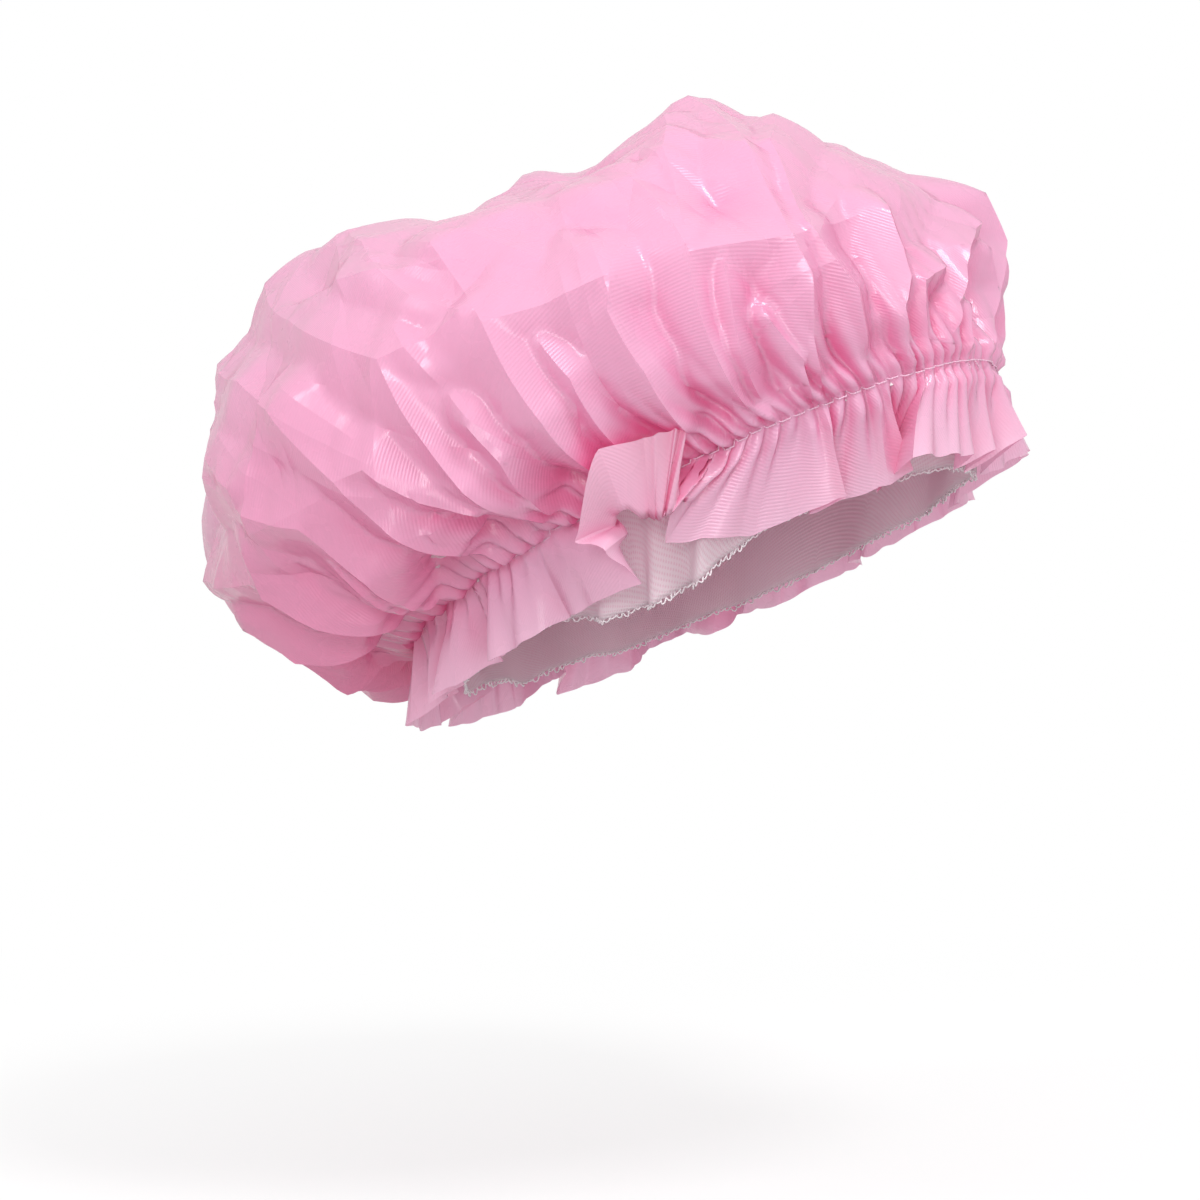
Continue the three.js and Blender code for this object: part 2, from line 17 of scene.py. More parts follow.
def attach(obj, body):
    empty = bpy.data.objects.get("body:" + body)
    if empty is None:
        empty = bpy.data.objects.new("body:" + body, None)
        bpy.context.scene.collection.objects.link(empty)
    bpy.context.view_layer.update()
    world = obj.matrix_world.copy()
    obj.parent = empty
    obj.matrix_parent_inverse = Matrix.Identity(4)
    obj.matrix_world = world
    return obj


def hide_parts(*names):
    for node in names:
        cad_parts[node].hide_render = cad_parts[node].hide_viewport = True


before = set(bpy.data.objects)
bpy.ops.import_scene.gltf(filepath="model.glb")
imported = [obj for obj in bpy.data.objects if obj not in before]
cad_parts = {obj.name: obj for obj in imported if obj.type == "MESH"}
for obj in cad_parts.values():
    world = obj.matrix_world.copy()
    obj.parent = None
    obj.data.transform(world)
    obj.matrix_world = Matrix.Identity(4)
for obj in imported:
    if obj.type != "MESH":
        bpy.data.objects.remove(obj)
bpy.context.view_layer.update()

# Head opening and crown, as in the CAD part
OPENING_LENGTH = 226.0
OPENING_WIDTH = 180.0
OPENING_TILT = math.radians(27)
CROWN_LENGTH = 300.0
CROWN_WIDTH = 272.0
CROWN_SET_BACK = 25.0
WIDEST_HEIGHT_FRONT = 52.0
WIDEST_HEIGHT_BACK = 46.0
CROWN_HEIGHT = 131.0
TOP_SET_BACK = 42.0
FRONT_LIFT = 10.0
NAPE_SAG = 36.0
UNDERSIDE_ROUND = 0.55

# Ruffle: its depth and its flare from plumb, at the forehead and at the nape
RUFFLE_DEPTH_FRONT = 36.0
RUFFLE_DEPTH_BACK = 31.0
RUFFLE_FLARE_FRONT = math.radians(13)
RUFFLE_FLARE_BACK = math.radians(-15)
# Its rounding between rulings, the share of its depth that leaves the seam plumb, and its small waves
RULING_ROUND = 0.75
PLUMB_SHARE = 0.2
RUFFLE_WAVE = 1.6
WAVES_ROUND = (29, 41, 58, 83)
WAVE_SEED = 53

# Film's flat disc: radius of the seam and of the cut edge
FILM_SEAM_RADIUS = 264.0
FILM_EDGE_RADIUS = 300.0

# Swell of the crown beyond its smooth shape: (angle from the forehead in degrees, share of the arc, rise)
CROWN_SWELLS = [
    (22, 0.22, 4), (12, 0.34, -7), (-6, 0.56, 0), (-30, 0.67, -6), (-55, 0.74, -4),
    (-108, 0.72, 2), (-142, 0.48, -12), (-155, 0.2, -8), (-158, 0.1, -9), (35, 0.08, -6),
]
SWELL_SPREAD = 38.0
SWELL_EASES_BY = 0.08

# Crests of the film on the seen side: runs of (angle from the forehead, share of the arc, height)
SEEN_CRESTS = [
    [(-10, 0.57, 10), (-27, 0.36, 6), (-31, 0.22, 9), (-31, 0.17, 9), (-36, 0.06, 7), (-38, 0, 3)],
    [(-4, 0.47, 6), (-22, 0.36, 5), (-28, 0.23, 6), (-25, 0.13, 9), (-26, 0.08, 8), (-28, 0, 3)],
    [(-44, 0.26, 8), (-40, 0.25, 6), (-31, 0.22, 9)],
    [(-40, 0.24, 5), (-41, 0.2, 5), (-44, 0.13, 6), (-48, 0, 3)],
    [(-38, 0.15, 3), (-37, 0.08, 6), (-41, 0, 3)],
    [(-13, 0.21, 5), (-15, 0.12, 8), (-18, 0.08, 7), (-17, 0, 3)],
    [(-6, 0.12, 6), (-11, 0.11, 5), (-13, 0, 3)],
    [(10, 0.18, 6), (2, 0.14, 5), (-6, 0.03, 5), (-8, 0, 2)],
    [(0, 0.07, 5), (-2, 0, 2)],
    [(21, 0.24, 8), (23, 0.18, 7), (16, 0.09, 5), (10, 0, 3)],
    [(-22, 0.55, 8), (-36, 0.43, 5), (-44, 0.27, 8)],
    [(-43, 0.42, 7), (-44, 0.27, 9), (-48, 0.11, 8), (-50, 0, 3)],
    [(-54, 0.28, 9), (-56, 0.25, 7), (-56, 0.17, 8), (-58, 0.08, 7), (-61, 0, 3)],
    [(-65, 0.27, 2), (-64, 0.21, 4), (-67, 0.09, 5), (-68, 0, 2)],
    [(-70, 0.32, 8), (-63, 0.3, 5), (-54, 0.28, 9)],
    [(-73, 0.48, 9), (-70, 0.32, 9), (-70, 0.19, 8), (-72, 0.1, 7), (-76, 0, 3)],
    [(-94, 0.7, 8), (-86, 0.6, 6), (-82, 0.5, 4), (-78, 0.42, 5), (-72, 0.35, 9)],
    [(-72, 0.35, 9), (-78, 0.35, 5), (-84, 0.36, 8), (-84, 0.18, 8), (-86, 0.06, 6), (-90, 0, 2)],
    [(-78, 0.24, 3), (-78, 0.18, 5), (-82, 0.1, 5), (-87, 0, 2)],
    [(-118, 0.68, 9), (-101, 0.54, 6), (-90, 0.42, 5), (-84, 0.36, 8)],
    [(-130, 0.6, 9), (-112, 0.5, 8), (-102, 0.4, 8), (-96, 0.28, 9), (-96, 0.2, 8), (-97, 0.1, 5)],
    [(-96, 0.28, 8), (-92, 0.27, 6), (-90, 0.2, 7), (-87, 0.14, 5)],
    [(-94, 0.16, 3), (-99, 0.08, 4), (-102, 0, 3)],
    [(-130, 0.6, 9), (-120, 0.43, 6), (-113, 0.36, 7)],
    [(-126, 0.5, 6), (-123, 0.42, 6), (-110, 0.31, 7), (-105, 0.27, 10), (-106, 0.17, 8),
     (-114, 0.07, 7), (-117, 0, 2)],
    [(-108, 0.22, 3), (-110, 0.16, 5), (-118, 0.05, 5)],
    [(-118, 0.3, 5), (-123, 0.25, 7), (-122, 0.11, 6), (-128, 0, 3)],
    [(-148, 0.36, 8), (-128, 0.29, 6), (-122, 0.27, 6)],
    [(-140, 0.26, 6), (-138, 0.18, 7), (-134, 0.1, 6), (-140, 0, 3)],
]
# Fall of the crests to both sides, low and high on the crown, and how far the middle of a run may bow
CREST_SLOPE_LOW = 1.2
CREST_SLOPE_HIGH = 0.42
CREST_EASES_BY = 0.45
CREST_LEVEL = 6.0
CREST_FLATTENS = 0.25
MOST_BOW = 5.0
BOW_EASES_BY = 0.15
VALLEY_DEPTH = 6.0
SEAM_REACH = 18.0

# Tuck of film and lining just above the seam, by the distance from it
SEAM_TUCK_FRONT = 2.5
SEAM_TUCK_BACK = 10.0
TUCK_FROM = 3.0
TUCK_DEEPEST = 13.0
TUCK_TO = 42.0

# Fine creases, with the spread of their lean in radians and the shares of the arc where they are mesh edges
CREASES = 300
CREASE_SEED = 37
CREASES_CROWD_LOW = 1.3
CREASES_UP_TO = 0.8
CREASE_LEAN = 0.7
CREASE_LENGTH = 40.0
CREASE_HEIGHT = 2.6
CREASE_WIDTH = 17.0
CREASES_EASE_OVER = 70.0
CREASE_EDGES_FROM = 0.02
CREASE_EDGES_TO = 0.97

# Gathers at the seam
PUCKERS = 112
PUCKER_SEED = 5
PUCKER_WANDER = 0.6
PUCKER_SWAY = 0.5
LEAST_PUCKER_REACH = 5.0
PUCKER_HEIGHT = 6.5
PUCKER_REACH = 15.0
PUCKER_PINCH = 0.35
PINCH_REACH = 7.0

# Rulings of the ruffle on the seen side: (angle at the seam, flare, lean towards the forehead), in degrees
SEEN_RULINGS = [
    (18, -4, 0), (13, 26, -8), (8, -4, -4), (5, 16, -6), (0, -4, -8), (-3, 15, -5), (-16, 20, -22),
    (-18.5, -24, -4), (-23, -26, 2), (-26, -3, 22), (-29, -2, 15), (-37, -20, -8), (-39.5, 4, 14),
    (-48, -14, -12), (-56, 4, -44), (-97, -20, 15), (-104, -2, 10), (-109, 2, 6), (-111.5, -28, 0),
    (-115, -24, 2), (-118, 2, -4), (-121, 4, -10), (-124, -30, -2), (-128, -24, 4), (-132, 2, 2),
    (-135, -28, 0), (-139, -24, -4), (-144, 4, -6),
]
# Rulings of the lobe turned up at the temple: (angle, half depth, edge), each place (forward, outward, down)
TURNED_RULINGS = [
    (-61, (-14, 10, 16), (-6, 14, -7)),
    (-67, (-3, 12, 17), (2, 17, -8)),
    (-72, (4, 13, 16), (4, 19, -9)),
    (-76, (6, 19, 11), (1, 28, -10)),
    (-80, (8, 14, 11), (-3, 24, 13)),
    (-83, (17, 9, 14), (15, 20, 20)),
    (-87, (18, 4, 18), (31, 5, 35)),
    (-91, (8, 0, 16), (14, -2, 32)),
]

# Folds of the far side, as in the CAD part: lobes of the ruffle, and a crest above each, low and tall in turn
FAR_FROM = 18.0
FAR_TO = 214.0
FAR_LOBES = 13
FAR_SWAY = 2.0
LOBE_HALF = 3.6
LOBE_FLARE = 17.0
LOBE_LEAN = 12.0
LOBE_BOLDNESS = 0.95
BOLDNESS_SWAY = 0.25
FAR_STEMS = [
    [(0, 0, 0.35), (0.2, 0.07, 0.85), (0.5, 0.16, 1), (1, 0.28, 0.7)],
    [(0, 0, 0.35), (0.2, 0.07, 0.85), (0.5, 0.16, 1), (1, 0.5, 1.1)],
]
STEM_HEIGHT = 7.2
STEM_SWAY = 0.2
STEM_DRIFT = 9.0
BRANCH_ANGLE = 13.0
BRANCH_CLIMB = 0.04
BRANCH_SWAY = 0.12
BRANCH_HEIGHT = 6.0
TWIG = [(0, 0, 2), (0.3, 0.08, 4.5), (1, 0.19, 4)]

# Lining: a smaller disc of terry inside the film, drawn in by the same seam, with a raw looped edge
LINING_SEAM_RADIUS = 248.0
LINING_EDGE_RADIUS = 285.0
LINING_AT_SEAM = 3.7
LINING_IN_CROWN = 16.0
LINING_EASES_OVER = 24.0
LINING_TUCKED_SHARE = 0.4
TUCKS_FROM_RADIUS = 130.0
LINING_THICKNESS = 1.0
LINING_CLEARANCE = 2.0
LINING_GATHERS = 42
LINING_GATHER_SEED = 41
LINING_GATHER_SWAY = 1.5
LINING_GATHER_START = 10.0
LINING_GATHER_HEIGHT = 2.0
LINING_GATHER_REACH = 40.0
SKIRT_FULLNESS = 1.4
SKIRT_SMOOTHING = 2
SKIRT_SHARE = 0.95
SKIRT_REACH = 9.0
# The skirt under the turned lobe: (angle, flare, lean, depth)
SKIRT_RULINGS = [
    (-56, -8, -6, 38), (-61, 1, -6, 43), (-67, -14, 2, 42), (-72, 3, 0, 44),
    (-76, -10, 4, 42), (-83, -4, 0, 40), (-87, -18, 0, 38), (-91, -24, 0, 36),
]
EDGE_LOOP_SEED = 61
EDGE_LOOP_STEP = 2.2
EDGE_LOOP_LENGTH = 1.6
EDGE_LOOP_RADIUS = 0.3
EDGE_LOOP_SIDES = 5
EDGE_LOOP_POINTS = 7
EDGE_LOOP_STRAY = 0.35
EDGE_LOOP_ROOT = 0.4

# Seam
STITCH_LENGTH = 5.0
STITCH_STEPS = 10
THREAD_RADIUS = 0.25
THREAD_SIDES = 7
THREAD_GAP = 0.1
HOLE_DEPTH = 0.7
HOLE_SHARE = 0.2
# Loose thread ends: (angle from the forehead in degrees, length, lean, curl)
THREAD_TAILS = [(-1, 9, 0.5, 1.4), (3, 5, 1.5, -1.0)]
TAIL_POINTS = 16

# Surface detail, with the scales of the noise in clouds, gloss and fuzz
CLOUD_SCALE = 14
GLOSS_SCALE = 60
FUZZ_SCALE = 900
EMBOSS_TURN = math.radians(35)
EMBOSS_STEP = 1.15
EMBOSS_DEPTH = 0.03
KNIT_STEP = 1.7
KNIT_DEPTH = 0.3
PLY_TURN = math.radians(40)
PLY_STEP = 0.8
PLY_DEPTH = 0.1
RIB_DEPTH = 0.2

# Painted light and shade in the film's colour: reach of the painted shade in its folds, strength of the
# painted light that makes the ruffle paler, and where painted shade darkens the crown above the seam at the
# nape
FOLD_SHADE_REACH = 20.0
RUFFLE_PAINTED_LIGHT = 0.5
NAPE_SHADE_FROM = 130.0
NAPE_SHADE_PAST = 8.0
NAPE_SHADE_BEHIND = -20.0
NAPE_SHADE_DEPTH = 0.9

# Cloth solver: its drift and its pull at first, and once it settles
LINING_SPACING = 12.0
LINING_STEPS = (120, 60)
LINING_STIFFNESS = 0.5
LINING_BAND = (-8.0, 2.0)
RING_MARGIN = 0.35
SETTLES_AT = 0.75
DRIFT = (0.9, 0.3)
PULL = (1.3, 1.0)

# Film mesh
FILM_SPACING = 2.3
FILM_CLEARANCE = 0.6

MM = 0.001
UP = np.array([0.0, 0.0, 1.0])
PLUMB = np.array([0.0, math.sin(OPENING_TILT), -math.cos(OPENING_TILT)])
TOP = np.array([0.0, TOP_SET_BACK, CROWN_HEIGHT])


# Shape of the cap

def front_share(angle):
    return (1 + np.cos(angle)) / 2


def front_to_back(angle, front, back):
    """A size that changes from the forehead to the nape."""
    return back + (front - back) * front_share(angle)


def smooth_step(value, low, high):
    share = np.clip((value - low) / (high - low), 0, 1)
    return share * share * (3 - 2 * share)


def unit(vectors):
    return vectors / np.maximum(np.linalg.norm(vectors, axis=-1, keepdims=True), 1e-9)


def run_along(points):
    """Distance of each point from the first, along the run of points."""
    return np.concatenate([[0], np.cumsum(np.linalg.norm(np.diff(points, axis=0), axis=1))])


def ring_point(angle):
    return np.stack([OPENING_WIDTH / 2 * np.sin(angle), -OPENING_LENGTH / 2 * np.cos(angle), 0 * angle], -1)


def ring_outward(angle):
    return unit(np.stack([np.sin(angle) / OPENING_WIDTH, -np.cos(angle) / OPENING_LENGTH, 0 * angle], -1))


def widest_point(angle):
    height = front_to_back(angle, WIDEST_HEIGHT_FRONT, WIDEST_HEIGHT_BACK)
    along = CROWN_SET_BACK - CROWN_LENGTH / 2 * np.cos(angle)
    return np.stack([CROWN_WIDTH / 2 * np.sin(angle), along, height], -1)


def crown_point(angle, climb):
    """The smooth crown: climb 0 at the seam, 1 at the widest ring and 2 at the top."""
    start = ring_point(angle)
    end = widest_point(angle)
    lift = FRONT_LIFT * front_share(angle) - NAPE_SAG * (1 - front_share(angle)) ** 2
    first = start + 0.5 * (end - start) * [1, 1, 0] + lift[..., None] * UP
    second = end - UNDERSIDE_ROUND * end[..., 2:] * UP
    t = np.clip(climb, 0, 1)[..., None]
    under = (1 - t) ** 3 * start + 3 * (1 - t) ** 2 * t * first + 3 * (1 - t) * t * t * second + t ** 3 * end
    turn = np.clip(climb - 1, 0, 1)[..., None] * np.pi / 2
    level = TOP[:2] + (end[..., :2] - TOP[:2]) * np.cos(turn)
    over = np.concatenate([level, end[..., 2:] + (TOP[2] - end[..., 2:]) * np.sin(turn)], -1)
    return np.where(climb[..., None] <= 1, under, over)


class Crown:
    """Look-up of the smooth crown by angle and by the share of its arc from the seam to the top."""

    ANGLES = 360
    SHARES = 161
    CLIMBS = 401

    def __init__(self):
        angles = np.linspace(0, 2 * np.pi, self.ANGLES + 1)
        grid = crown_point(*np.meshgrid(angles, np.linspace(0, 2, self.CLIMBS), indexing="ij"))
        steps = np.linalg.norm(np.diff(grid, axis=1), axis=-1)
        arcs = np.concatenate([np.zeros((len(angles), 1)), np.cumsum(steps, 1)], 1)
        shares = np.linspace(0, 1, self.SHARES)
        self.points = np.empty((len(angles), self.SHARES, 3))
        for row, arc in enumerate(arcs):
            for axis in range(3):
                self.points[row, :, axis] = np.interp(shares * arc[-1], arc, grid[row, :, axis])
        around = np.gradient(self.points, axis=0)
        around[0] = around[-1] = (self.points[1] - self.points[-2]) / 2
        self.normals = unit(np.cross(around, np.gradient(self.points, axis=1)))
        self.normals[:, -1] = UP
        self.radius = np.linalg.norm(around, axis=-1).mean(0) * self.ANGLES / (2 * np.pi)

    def look_up(self, table, angle, share):
        x = (angle % (2 * np.pi)) / (2 * np.pi) * self.ANGLES
        y = np.clip(share, 0, 1) * (self.SHARES - 1)
        i = np.minimum(x.astype(int), self.ANGLES - 1)
        j = np.minimum(y.astype(int), self.SHARES - 2)
        fx = (x - i)[:, None]
        fy = (y - j)[:, None]
        low = table[i, j] * (1 - fx) + table[i + 1, j] * fx
        high = table[i, j + 1] * (1 - fx) + table[i + 1, j + 1] * fx
        return low * (1 - fy) + high * fy

    def radius_at(self, share):
        return np.interp(share, np.linspace(0, 1, self.SHARES), self.radius)


crown = Crown()


def ruffle_depth_at(angle):
    return front_to_back(angle, RUFFLE_DEPTH_FRONT, RUFFLE_DEPTH_BACK)


# Flat discs of cloth

def disc_mesh(seam_radius, edge_radius, spacing):
    """A flat disc of rings of even triangles, with one ring on the seam: polar places and triangles."""
    inner = round(seam_radius / spacing)
    outer = max(2, round((edge_radius - seam_radius) / spacing))
    radii = [seam_radius * k / inner for k in range(1, inner + 1)]
    radii += [seam_radius + (edge_radius - seam_radius) * k / outer for k in range(1, outer + 1)]
    places = [(0.0, 0.0)]
    rings = []
    for number, radius in enumerate(radii):
        count = max(6, round(2 * np.pi * radius / spacing))
        rings.append(np.arange(len(places), len(places) + count))
        places += [(radius, 2 * np.pi * (k + 0.5 * (number % 2)) / count) for k in range(count)]
    places = np.array(places)
    first = rings[0]
    faces = [(0, first[k], first[(k + 1) % len(first)]) for k in range(len(first))]
    for low, high in zip(rings, rings[1:]):
        faces += zip_rings(low, high, places[:, 1])
    return places, np.array(faces)


def zip_rings(low, high, angles):
    """Triangles between two rings, stepping on whichever ring is behind."""
    low_turns = np.append(angles[low], angles[low[0]] + 2 * np.pi)
    high_turns = np.append(angles[high], angles[high[0]] + 2 * np.pi)
    low = np.append(low, low[0])
    high = np.append(high, high[0])
    i = 0
    j = 0
    faces = []
    while i + 1 < len(low) or j + 1 < len(high):
        if j + 1 == len(high) or (i + 1 < len(low) and low_turns[i + 1] < high_turns[j + 1]):
            faces.append((low[i], high[j], low[i + 1]))
            i += 1
        else:
            faces.append((low[i], high[j], high[j + 1]))
            j += 1
    return faces


def flat_place(places):
    radius, angle = places.T
    return np.stack([radius * np.sin(angle), -radius * np.cos(angle)], -1)


def edge_key(a, b):
    return np.minimum(a, b).astype(np.int64) << 32 | np.maximum(a, b)


class Cloth:
    """A triangle mesh with its flat places, its edges and its hinges, and the solver that folds it."""

    def __init__(self, flat, faces, points):
        self.flat = flat
        self.faces = faces
        self.points = points
        self.find_edges()

    def find_edges(self):
        starts = self.faces.T.ravel()
        ends = np.roll(self.faces, -1, axis=1).T.ravel()
        across = np.roll(self.faces, 1, axis=1).T.ravel()
        keys = edge_key(starts, ends)
        order = np.argsort(keys, kind="stable")
        self.keys, first, count = np.unique(keys[order], return_index=True, return_counts=True)
        self.edges = np.stack([self.keys >> 32, self.keys & 0xFFFFFFFF], -1)
        shared = first[count == 2]
        self.hinges = np.stack([across[order[shared]], across[order[shared + 1]]], -1)

    def refined(self):
        """The same cloth with every edge halved."""
        count = len(self.flat)
        middle = [count + np.searchsorted(self.keys, edge_key(self.faces[:, k], self.faces[:, (k + 1) % 3]))
                  for k in range(3)]
        a, b, c = self.faces.T
        ab, bc, ca = middle
        corners = ((a, ab, ca), (b, bc, ab), (c, ca, bc), middle)
        faces = np.concatenate([np.stack(corner, 1) for corner in corners])
        halves = [np.concatenate([values, values[self.edges].mean(1)]) for values in (self.flat, self.points)]
        return Cloth(halves[0], faces, halves[1])

    def places(self):
        return np.hypot(*self.flat.T), np.arctan2(self.flat[:, 0], -self.flat[:, 1])

    def lengths(self, pairs, width_share):
        """Cut lengths of pairs of points, with the width around the disc narrowed by what the tucks hide."""
        radius = self.places()[0]
        along = np.diff(radius[pairs], axis=1)[:, 0]
        whole = np.linalg.norm(np.diff(self.flat[pairs], axis=1)[:, 0], axis=1)
        around = np.sqrt(np.maximum(whole ** 2 - along ** 2, 0)) * width_share(radius[pairs].mean(1))
        return np.hypot(along, around)

    def pull(self, points, pairs, rest, share, only_short=False):
        """The mean move that brings each pair back towards its rest length."""
        gap = points[pairs[:, 1]] - points[pairs[:, 0]]
        length = np.maximum(np.linalg.norm(gap, axis=1), 1e-6)
        error = length - rest
        if only_short:
            error = np.minimum(error, 0)
        move = gap * (share * error / length)[:, None]
        count = len(points)
        first, second = pairs.T
        total = np.stack([np.bincount(first, part, count) - np.bincount(second, part, count)
                          for part in move.T], -1)
        number = np.bincount(pairs.ravel(), minlength=count)
        return total / np.maximum(number, 1)[:, None]

    def smooth(self, points, share):
        first, second = self.edges.T
        count = len(points)
        total = np.stack([np.bincount(first, part[second], count) + np.bincount(second, part[first], count)
                          for part in points.T], -1)
        number = np.bincount(self.edges.ravel(), minlength=count)
        return points + share * (total / number[:, None] - points)

    def relax(self, steps, width_share, held, base, normal):
        """Folds the cloth: held points stay, and no point leaves the band around the base surface."""
        rest = self.lengths(self.edges, width_share)
        bend_rest = self.lengths(self.hinges, width_share)
        free = (~held).astype(float)[:, None]
        before = self.points.copy()
        for step in range(steps):
            late = step > SETTLES_AT * steps
            points = self.points + (self.points - before) * DRIFT[late] * free
            before = self.points
            points = points + self.pull(points, self.edges, rest, PULL[late]) * free
            points = points + self.pull(points, self.hinges, bend_rest, LINING_STIFFNESS, True) * free
            height = ((points - base) * normal).sum(1)
            self.points = points + normal * (np.clip(height, *LINING_BAND) - height)[:, None] * free


def tilted(points):
    """From the head opening's frame to the part's frame, in metres."""
    x, y, z = points.T
    cos = math.cos(OPENING_TILT)
    sin = math.sin(OPENING_TILT)
    return np.stack([x, y * cos + z * sin, z * cos - y * sin], -1) * MM


def search_tree(points):
    """Finds the nearest of some points."""
    tree = KDTree(len(points))
    for number, place in enumerate(points):
        tree.insert(place, number)
    tree.balance()
    return tree


# Film

def wobble(number, salt):
    """A fixed uneven number between -1 and 1 for a numbered fold."""
    return math.sin(97 * number + 31 * salt)


def far_lobes():
    """Lobes of the far side as (ridge, valley, side, boldness), with angles in degrees."""
    lobes = []
    for number in range(FAR_LOBES):
        middle = FAR_FROM + (FAR_TO - FAR_FROM) / FAR_LOBES * (number + 0.5) + FAR_SWAY * wobble(number, 1)
        side = math.copysign(1, wobble(number, 2))
        bold = LOBE_BOLDNESS + BOLDNESS_SWAY * wobble(number, 3)
        lobes.append((middle - side * LOBE_HALF, middle + side * LOBE_HALF, side, bold))
    return lobes


def far_crests():
    """Crests above the far lobes: a stem on each ridge, a branch off every other, a twig in each valley."""
    crests = []
    for number, (ridge, valley, _, _) in enumerate(far_lobes()):
        size = 1 + STEM_SWAY * wobble(number, 4)
        drift = STEM_DRIFT * wobble(number, 5)
        height = STEM_HEIGHT * (1 + STEM_SWAY * wobble(number, 6))
        crests.append([(ridge + a * drift, b * size, c * height) for a, b, c in FAR_STEMS[number % 2]])
        crests.append([(valley + a * drift, b * size, c) for a, b, c in TWIG])
        if number % 2:
            top = crests[-2][-1]
            turn = math.copysign(BRANCH_ANGLE, wobble(number, 7))
            share = top[1] + BRANCH_CLIMB + BRANCH_SWAY * wobble(number, 8)
            crests.append([top, (top[0] + turn, share, BRANCH_HEIGHT)])
    return crests


def crest_runs():
    """All straight runs of the crests: start and end of each, as (angle in radians, share, height)."""
    lines = [np.array(line, float) * [math.pi / 180, 1, 1] for line in SEEN_CRESTS + far_crests()]
    return [run for line in lines for run in zip(line, line[1:])]


def crown_offset(angle, share, at, up):
    """Distances round the crown and up it from one place to others, by angle and share of the arc."""
    return np.angle(np.exp(1j * (angle - at))) * crown.radius_at(share), (share - up) * FILM_SEAM_RADIUS


def crest_bow(start, end):
    """How far the middle of a crest's run stands off an even height, so that the run is straight in space."""
    angle, share, height = np.stack([start, end, (start + end) / 2]).T
    base = crown.look_up(crown.points, angle, share)
    normal = crown.look_up(crown.normals, angle, share)
    ends = base + normal * height[:, None]
    off = ((ends[0] + ends[1]) / 2 - ends[2]) @ normal[2]
    return np.clip(off, -MOST_BOW, MOST_BOW) * smooth_step(share.min(), 0, BOW_EASES_BY)


def crest_rise(angle, share):
    """The highest crest at each point, each falling off at a steady slope, and flatter high on the crown."""
    radius = crown.radius_at(share)
    ease = smooth_step(share, 0, CREST_EASES_BY)
    slope = CREST_SLOPE_LOW + (CREST_SLOPE_HIGH - CREST_SLOPE_LOW) * ease
    rise = np.full_like(angle, -VALLEY_DEPTH)
    for start, end in crest_runs():
        x, y = crown_offset(angle, share, start[0], start[1])
        run_x = (end[0] - start[0]) * radius
        run_y = (end[1] - start[1]) * FILM_SEAM_RADIUS
        along = np.clip((x * run_x + y * run_y) / (run_x ** 2 + run_y ** 2 + 1e-9), 0, 1)
        apart = np.hypot(x - along * run_x, y - along * run_y)
        height = start[2] + (end[2] - start[2]) * along + 4 * crest_bow(start, end) * along * (1 - along)
        rise = np.maximum(rise, height - slope * apart)
    return rise + CREST_FLATTENS * ease * (CREST_LEVEL - rise)


def film_creases():
    """Fine straight creases thrown at random: (angle, share, lean, half length, height, width)."""
    rng = np.random.default_rng(CREASE_SEED)
    creases = []
    for _ in range(CREASES):
        at = rng.uniform(0, 2 * np.pi)
        up = rng.uniform(0.04, 1) ** CREASES_CROWD_LOW * CREASES_UP_TO
        lean = rng.normal(0, CREASE_LEAN)
        half = CREASE_LENGTH * rng.uniform(0.5, 1.5) * (0.4 + up)
        height = CREASE_HEIGHT * rng.choice([-1, 1]) * rng.uniform(0.4, 1)
        width = CREASE_WIDTH * rng.uniform(0.6, 1.4) * (0.5 + up)
        creases.append((at, up, lean, half, height, width))
    return creases


def crease_rise(angle, share):
    """Each crease is a straight ridge or groove that tapers to both ends."""
    rise = np.zeros_like(angle)
    for at, up, lean, half, height, width in film_creases():
        x, y = crown_offset(angle, share, at, up)
        along = x * math.sin(lean) + y * math.cos(lean)
        apart = np.abs(x * math.cos(lean) - y * math.sin(lean)) + width * (along / half) ** 2
        rise += height * np.clip(1 - apart / width, 0, None)
    return rise


def swell_rise(angle, share):
    rise = np.zeros_like(angle)
    for at, up, height in CROWN_SWELLS:
        apart = np.hypot(*crown_offset(angle, share, math.radians(at), up))
        rise += height * np.exp(-(apart / SWELL_SPREAD) ** 2)
    return rise * smooth_step(share, 0, SWELL_EASES_BY)


def pucker_rise(angle, distance):
    """Gathers pinched by the seam: round tops and sharp valleys of uneven width, height and reach."""
    rng = np.random.default_rng(PUCKER_SEED)
    phases = rng.uniform(-PUCKER_WANDER, PUCKER_WANDER, 12)
    wander = sum(np.cos(k * angle + 2 * np.pi * phases[k]) * phases[k] for k in range(3, 12))
    strength = 1 + PUCKER_SWAY * sum(np.cos(k * angle + k) for k in (17, 27, 38)) / 3
    reach = PUCKER_REACH * (1 + PUCKER_SWAY * sum(np.cos(k * angle + 2 * k) for k in (13, 23, 34)) / 2)
    shape = np.abs(np.cos(PUCKERS / 2 * angle + wander))
    pinch = PUCKER_PINCH + (1 - PUCKER_PINCH) * smooth_step(distance, 0, PINCH_REACH)
    fade = np.exp(-distance / np.maximum(reach, LEAST_PUCKER_REACH))
    return PUCKER_HEIGHT * strength * shape * pinch * fade


def ruling(angle, flare, lean, depth=None):
    """A straight ruling of the ruffle: its angle, and its places at half depth and at the edge."""
    way = unit(np.array([math.tan(math.radians(lean)), math.tan(math.radians(flare)), 1.0]))
    edge = way * (depth or ruffle_depth_at(np.radians(angle)))
    return [angle, *(edge / 2), *edge]


